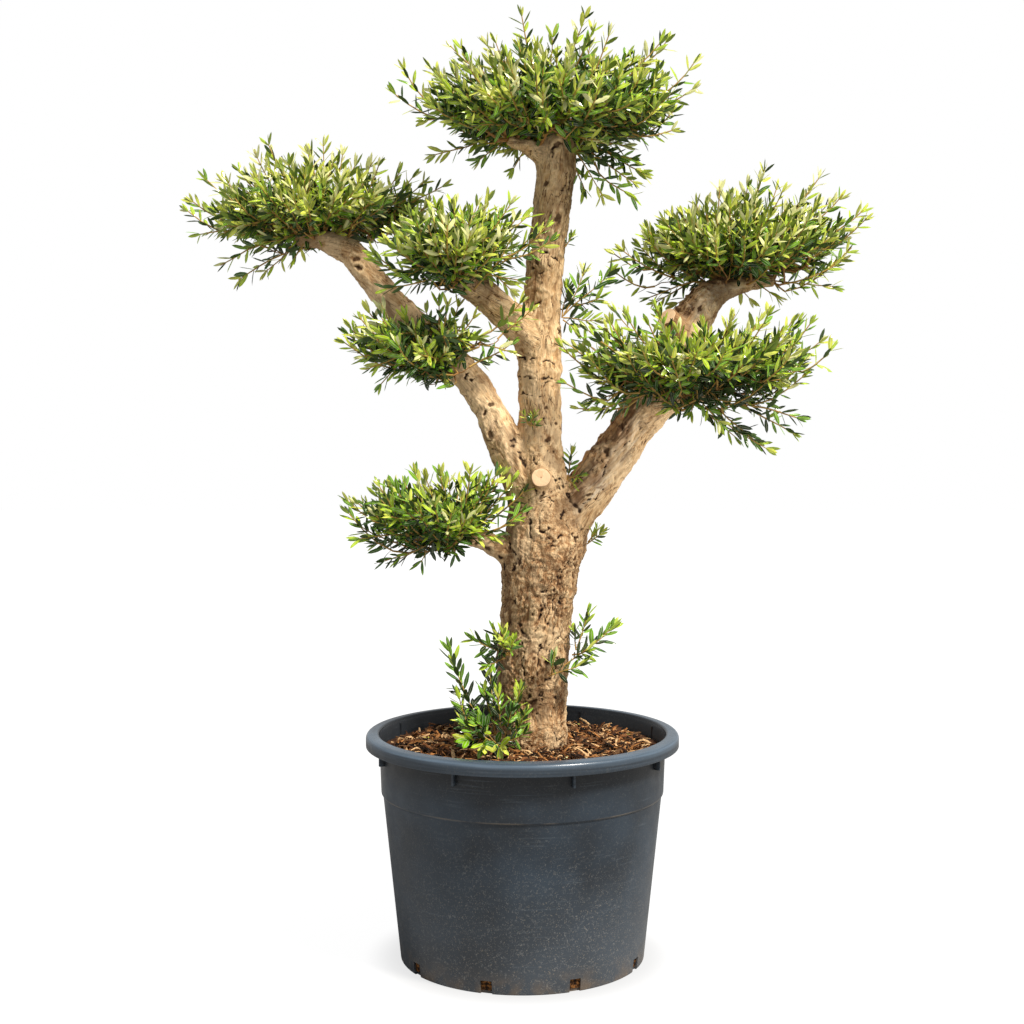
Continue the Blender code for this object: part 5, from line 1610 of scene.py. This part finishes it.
def leaves_on(starts, tips, ways_out, aims, facing, pair_gaps, sizes, youth_and_light, luck, broad=False):
    """Every leaf of these shoots as arrays: place, turn, length, form and tint. The leaves sit in pairs, each
    a quarter turn on from the last."""
    found = []
    reach = np.linalg.norm(tips - starts, axis=1) * 1.05
    pairs = np.maximum(2, (reach * (1 - BARE_SHARE) / pair_gaps).astype(int))
    for shoot in range(len(starts)):
        count = pairs[shoot]
        t = BARE_SHARE + (1 - BARE_SHARE) * (np.arange(count) + luck.uniform(0.1, 0.9)) / count
        t = np.clip(t, 0, 1)
        one = slice(shoot, shoot + 1)
        places, stems = curves_through(starts[one], tips[one], ways_out[one], aims[one], t)
        places, stems = places[0], stems[0]
        side = unit(np.cross(stems, unit(luck.normal(size=3))))
        other = np.cross(stems, side)
        turn = luck.uniform(0, math.tau) + np.arange(count) * (math.pi / 2) + luck.normal(0.0, 0.22, count)
        for half in (0.0, math.pi):
            angle = (turn + half + luck.normal(0.0, 0.12, count))[:, None]
            outward_way = side * np.cos(angle) + other * np.sin(angle)
            lean = np.radians(np.interp(t, (0, 0.6, 1), (62, 48, 24)) + luck.normal(0, 9, count))[:, None]
            way = unit(stems * np.cos(lean) + outward_way * np.sin(lean))
            face = stems * 0.35 + facing[shoot] * 0.60 + np.array((0.0, 0.0, 0.35))
            face = face + luck.normal(0.0, 0.50, (count, 3))
            length = sizes[shoot] * np.interp(t, (0, 0.25, 0.7, 0.9, 1), (0.75, 1.0, 1.06, 1.00, 0.82))
            length = length * luck.uniform(0.82, 1.14, count)
            # darker at a shoot's foot and paler at its tip: partly age and partly painted shade and light
            tint = youth_and_light[shoot] + np.interp(t, (0, 0.5, 1), (-2.2, 0.0, 1.8)) + luck.normal(0, 0.90, count)
            found.append((places, way, face, length, tint))
        way = unit(stems[-1:] + luck.normal(0.0, 0.20, (2, 3)))
        face = unit(luck.normal(size=(2, 3))) + facing[shoot]
        found.append((
            places[-1:].repeat(2, 0), way, face, sizes[shoot] * luck.uniform(0.70, 0.95, 2),
            youth_and_light[shoot] + 1.3 + luck.normal(0, 0.4, 2),
        ))
    places, ways, faces, lengths, tints = (np.concatenate(column) for column in zip(*found))
    tints = np.clip(np.round(tints), 0, len(LEAF_TINTS) - 1).astype(np.int32)
    forms = luck.integers(0, len(LEAF_FORMS) - 1, len(places)).astype(np.int32)
    if broad:
        forms[:] = len(LEAF_FORMS) - 1
    return places, turned_to(ways, faces), lengths, forms, tints


def leaf_pieces(name, parts):
    """Joins the leaves of several shoots into pieces small enough to handle."""
    places, *carried = (np.concatenate(column) for column in zip(*parts))
    pieces = []
    for first in range(0, len(places), LEAVES_PER_PIECE):
        chosen = slice(first, first + LEAVES_PER_PIECE)
        mesh = bpy.data.meshes.new(name)
        mesh.from_pydata(places[chosen], [], [])
        for (label, kind), values in zip(CARRIED_BY_LEAVES, carried):
            keep_on(mesh, label, values[chosen], kind)
        number = len(pieces) + 1
        pieces.append(new_piece(f"{name}_{number}", grown_mesh(
            leaf_tree, leaf_last, new_piece("holder", mesh), leaf_ids, Forms=leaf_forms,
            Old_Back=leaf_backs[0], Young_Back=leaf_backs[1],
            **{f"Tint_{tint + 1}": finish for tint, finish in enumerate(leaf_faces)},
        )))
    return pieces


def stem_lines(starts, tips, ways_out, aims, foot, end):
    """The drawn lines of these shoots' stems, thinning from the foot to the end."""
    t = np.linspace(0, 1, STEM_PARTS)
    places, _ = curves_through(starts, tips, ways_out, aims, t)
    count = len(starts)
    numbers = np.arange(count * STEM_PARTS).reshape(count, STEM_PARTS)
    edges = np.stack([numbers[:, :-1].ravel(), numbers[:, 1:].ravel()], 1)
    thickness = np.tile(foot + (end - foot) * t, count)
    return places.reshape(-1, 3), edges, thickness


def wooden(name, lines, sides, finish):
    """One piece of round wood from several sets of drawn lines."""
    places, edges, thickness, first = [], [], [], 0
    for some_places, some_edges, some_thickness in lines:
        places.append(some_places)
        edges.append(some_edges + first)
        thickness.append(some_thickness)
        first += len(some_places)
    mesh = line_mesh(name, np.concatenate(places), np.concatenate(edges), np.concatenate(thickness))
    grown = grown_mesh(twig_tree, twig_last, new_piece("holder", mesh), twig_ids, Sides=sides, Bark=finish)
    grown.shade_smooth()
    return new_piece(name, grown)


luck = np.random.default_rng(CROWN_SEED)
leaf_parts, twig_parts, stem_parts = [], [], []
for node, (feeders, hub, outer_tips) in PADS.items():
    corners, faces = pad_skin(node)
    skin = BVHTree.FromPolygons(corners.tolist(), faces.tolist())
    hub = np.array(hub)
    tips, aims, lengths, depths = pad_shoots(corners, faces, hub, skin, luck)
    beside = (np.abs((tips + aims * 0.01 - CLEAR_PLACE)[:, (0, 2)]) > CLEAR_REACH).any(1)
    kept = beside | (tips[:, 1] > CLEAR_PLACE[1])
    tips, aims, lengths, depths = (values[kept] for values in (tips, aims, lengths, depths))
    low, high = corners.min(0), corners.max(0)
    count = len(outer_tips)
    outer = np.array([(x, hub[1], z) for x, z in outer_tips])
    outer[:, 1] += luck.uniform(-0.05, 0.03, count)
    outer_aims = unit(outer - hub) * 0.75 + np.array((0.0, 0.0, 0.55)) * (outer[:, 2:] > hub[2])
    outer_lengths = luck.uniform(*OUTER_LENGTHS, count)
    outer_lengths = np.minimum(outer_lengths, np.linalg.norm(outer - hub, axis=1) * 0.85)
    tips = np.concatenate([tips, outer])
    aims = np.concatenate([aims, unit(outer_aims + luck.normal(0.0, 0.10, (count, 3)))])
    lengths = np.concatenate([lengths, outer_lengths])
    depths = np.concatenate([depths, np.zeros(count)])
    goals = tips - unit(aims * 0.6 + unit(tips - hub) * 0.4) * lengths[:, None]
    stations = np.concatenate([fields[name].line[:, :3] for name in feeders])
    # the twigs start from the places on the boughs that are inside the pad, or nearly so
    nearest = [skin.find_nearest(Vector(station)) for station in stations]
    outside = [(Vector(station) - spot).dot(out) for station, (spot, out, *_) in zip(stations, nearest)]
    outside = np.array(outside)
    seeds = stations[(outside < 0.012) | (outside <= np.sort(outside)[2])]
    places, parents, homes = branch_out(seeds, goals, luck)
    borne = np.bincount(homes, minlength=len(places)).astype(float)
    for number in range(len(places) - 1, len(seeds) - 1, -1):
        borne[parents[number]] += borne[number]
    living = np.where((borne > 0) & (parents >= 0))[0]
    edges = np.stack([parents[living], living], 1)
    thickness = np.minimum(TWIG_PIPE * np.maximum(borne, 1) ** 0.45, TWIG_THICKEST)
    twig_parts.append((places + luck.normal(0.0, 0.0012, places.shape), edges, thickness))
    starts = places[homes]
    grown_way = np.where(parents[homes] >= 0, 1.0, 0.0)[:, None] * (starts - places[parents[homes]])
    ways_out = unit(unit(goals - starts) * 0.7 + unit(grown_way) * 0.3 + aims * 0.3)
    stem_parts.append(stem_lines(starts, tips, ways_out, aims, *STEM_RADII))
    # leaves are younger towards the top of a pad and older inside it, which also paints light on the top
    # and shade inside
    height = (tips[:, 2] - low[2]) / (high[2] - low[2])
    outermost = np.arange(len(tips)) >= len(tips) - count
    youth_and_light = 2.30 + 1.0 * (height - 0.5) - depths * 40 + luck.normal(0.0, 0.60, len(tips))
    youth_and_light = youth_and_light + PAD_LIGHT_AND_YOUTH.get(node, 0)
    youth_and_light[outermost] -= 0.4
    spacing = np.where(outermost, OUTER_PAIR_GAP, PAIR_GAP)
    sizes = LEAF_LENGTH * luck.uniform(0.90, 1.12, len(tips)) * np.where(outermost, OUTER_LEAF_SHARE, 1.0)
    facing = unit(tips - hub) + np.array((0.0, -0.15, 0.0))
    facing[outermost] = facing[outermost] * 0.4 + np.array((0.0, -0.8, 0.3))
    leaf_parts.append(leaves_on(starts, tips, ways_out, aims, facing, spacing, sizes, youth_and_light, luck))
crown = leaf_pieces("crown_leaves", leaf_parts)
twigs = wooden("crown_twigs", twig_parts, TWIG_SIDES, twig_finish)
stems = wooden("crown_stems", stem_parts, STEM_SIDES, stem_finish)
for node in PADS:
    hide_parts(node)
for piece in (*crown, twigs, stems):
    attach(piece, "root")

# --------------------------------------------------------------------- Sprouts
# Young growth straight from the old wood: a clump of suckers at the foot with a rosette of broad juvenile
# leaves, a sprout on the trunk and one on the leader, small tufts in the forks, and a few leaves fallen on
# the mulch. Each shoot: where it starts, where it ends, how long its leaves are, and how young, which also
# paints its leaves lighter or darker for light and shade
SPROUTS = {
    "suckers": (
        ((-0.060, -0.100, 0.471), (-0.147, -0.115, 0.658), 0.032, 1.6),
        ((-0.021, -0.055, 0.635), (-0.100, -0.100, 0.681), 0.029, 1.9),
        ((-0.027, -0.055, 0.637), (-0.057, -0.095, 0.698), 0.027, 2.2),
        ((-0.034, -0.055, 0.637), (-0.039, -0.110, 0.692), 0.027, 3.4),
        ((-0.027, -0.055, 0.639), (-0.019, -0.100, 0.676), 0.022, 2.6),
        ((-0.034, -0.055, 0.633), (-0.071, -0.110, 0.629), 0.026, 1.2),
        ((-0.058, -0.085, 0.474), (-0.068, -0.075, 0.620), 0.028, 0.6),
        ((-0.102, -0.115, 0.480), (-0.129, -0.120, 0.570), 0.028, 2.0),
        ((-0.105, -0.120, 0.487), (-0.125, -0.130, 0.527), 0.020, 3.4),
        ((-0.045, -0.100, 0.477), (-0.049, -0.105, 0.570), 0.027, 2.4),
        ((-0.029, -0.105, 0.466), (-0.005, -0.100, 0.575), 0.025, 2.8),
        ((-0.029, -0.105, 0.470), (0.007, -0.125, 0.535), 0.022, 2.2),
        ((-0.053, -0.110, 0.467), (-0.085, -0.130, 0.527), 0.027, 1.8),
        ((-0.061, -0.120, 0.473), (-0.112, -0.150, 0.515), 0.027, 1.6),
        ((-0.039, -0.110, 0.471), (-0.021, -0.120, 0.542), 0.025, 1.4),
        ((-0.045, -0.110, 0.467), (0.005, -0.140, 0.495), 0.022, 2.0),
        ((-0.052, -0.090, 0.475), (-0.078, -0.095, 0.574), 0.028, 0.9),
    ),
    "broad_leaves": (
        ((-0.077, -0.125, 0.482), (-0.112, -0.155, 0.484), 0.030, 2.2),
        ((-0.077, -0.125, 0.482), (-0.076, -0.170, 0.475), 0.030, 2.4),
        ((-0.061, -0.120, 0.477), (-0.042, -0.165, 0.472), 0.030, 2.6),
        ((-0.071, -0.120, 0.487), (-0.089, -0.145, 0.514), 0.026, 1.6),
    ),
    "sprout_trunk": (
        ((0.054, -0.070, 0.598), (0.125, -0.075, 0.626), 0.027, 2.4),
        ((0.060, -0.072, 0.603), (0.062, -0.100, 0.636), 0.030, 2.9),
        ((0.085, -0.050, 0.616), (0.188, -0.035, 0.698), 0.028, 2.0),
        ((0.112, -0.045, 0.652), (0.135, -0.040, 0.726), 0.024, 2.4),
        ((0.102, -0.045, 0.638), (0.134, -0.060, 0.650), 0.026, 1.8),
        ((0.110, -0.045, 0.648), (0.107, -0.020, 0.686), 0.024, 2.2),
    ),
    "sprout_leader": (
        ((0.083, -0.020, 1.331), (0.182, 0.000, 1.424), 0.029, 2.5),
        ((0.083, -0.020, 1.327), (0.152, -0.035, 1.322), 0.027, 2.8),
        ((0.085, -0.020, 1.335), (0.126, -0.005, 1.421), 0.027, 2.8),
        ((0.083, -0.020, 1.323), (0.109, -0.030, 1.306), 0.025, 2.2),
        ((0.081, -0.020, 1.327), (0.094, 0.010, 1.392), 0.026, 1.8),
        ((0.108, -0.010, 1.352), (0.160, -0.030, 1.369), 0.025, 2.2),
    ),
    "sprigs": (
        ((0.013, -0.042, 1.109), (0.003, -0.050, 1.131), 0.015, 3.2),
        ((0.013, -0.042, 1.109), (0.024, -0.052, 1.131), 0.014, 3.0),
        ((0.015, -0.042, 1.107), (0.028, -0.052, 1.111), 0.014, 2.6),
        ((0.087, -0.015, 1.471), (0.101, -0.015, 1.493), 0.017, 2.6),
        ((0.092, -0.020, 0.996), (0.100, -0.020, 1.057), 0.020, 3.0),
        ((0.094, -0.020, 1.000), (0.122, -0.030, 1.005), 0.018, 3.0),
        ((0.094, -0.020, 0.996), (0.106, -0.030, 0.988), 0.016, 2.8),
        ((0.133, -0.020, 0.864), (0.164, -0.020, 0.889), 0.021, 3.8),
        ((0.135, -0.020, 0.868), (0.153, -0.030, 0.894), 0.019, 3.6),
    ),
}
SPROUT_PAIR_GAP = 0.0090
SPROUT_LEAF = 0.028
SPROUT_AGE = 0.8
SPROUT_LEAF_GROWTH = 1.2
SPROUT_STEM_RADII = (0.0017, 0.0008)
FALLEN_LIFT = 0.007
# Where each fallen leaf lies, its length and its tint
FALLEN_LEAVES = (
    (0.165, 0.250, 0.026, 5), (0.097, 0.235, 0.024, 4), (0.112, 0.205, 0.026, 4),
    (-0.128, 0.050, 0.022, 5), (-0.112, 0.083, 0.024, 4), (0.060, -0.210, 0.020, 3),
    (0.190, -0.050, 0.022, 5), (-0.190, 0.060, 0.024, 4), (-0.060, 0.190, 0.022, 3),
    (0.090, -0.150, 0.024, 5), (-0.010, -0.240, 0.018, 4), (0.215, 0.090, 0.020, 2),
)
sprout_leaves, sprout_stems = [], []
for kind, rows in SPROUTS.items():
    starts, tips = (np.array([row[place] for row in rows]) for place in (0, 1))
    count = len(rows)
    aims = unit(unit(tips - starts) + np.array((0.0, -0.05, 0.35)) * (kind != "broad_leaves"))
    ways_out = unit(unit(tips - starts) + luck.normal(0.0, 0.12, (count, 3)))
    sizes = np.array([row[2] for row in rows])
    youth_and_light = np.array([row[3] for row in rows]) - SPROUT_AGE
    facing = np.array((0.15, -0.85, 0.30)) + luck.normal(0.0, 0.1, (count, 3))
    sprout_leaves.append(leaves_on(
        starts, tips, ways_out, aims, facing, SPROUT_PAIR_GAP * sizes / SPROUT_LEAF,
        sizes * SPROUT_LEAF_GROWTH, youth_and_light, luck, kind == "broad_leaves",
    ))
    sprout_stems.append(stem_lines(starts, tips, ways_out, aims, *SPROUT_STEM_RADII))
fallen = np.array([(x, y, mulch_height(x, y) + FALLEN_LIFT) for x, y, _, _ in FALLEN_LEAVES])
lying = unit(luck.normal(size=(len(fallen), 3)) * (1.0, 1.0, 0.15))
sprout_leaves.append((
    fallen, turned_to(lying, np.array((0.0, 0.0, 1.0)) + luck.normal(0.0, 0.3, (len(fallen), 3))),
    np.array([row[2] for row in FALLEN_LEAVES]), np.zeros(len(fallen), np.int32),
    np.array([row[3] for row in FALLEN_LEAVES], np.int32),
))
sprouts = leaf_pieces("sprout_leaves", sprout_leaves)[0]
shoots = wooden("sprout_stems", sprout_stems, STEM_SIDES, stem_finish)
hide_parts("suckers_foot", "sprout_trunk", "sprout_leader", "sprig_crotch", "sprig_butt")
for piece in (sprouts, shoots):
    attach(piece, "root")

clear_away(leaf_forms)
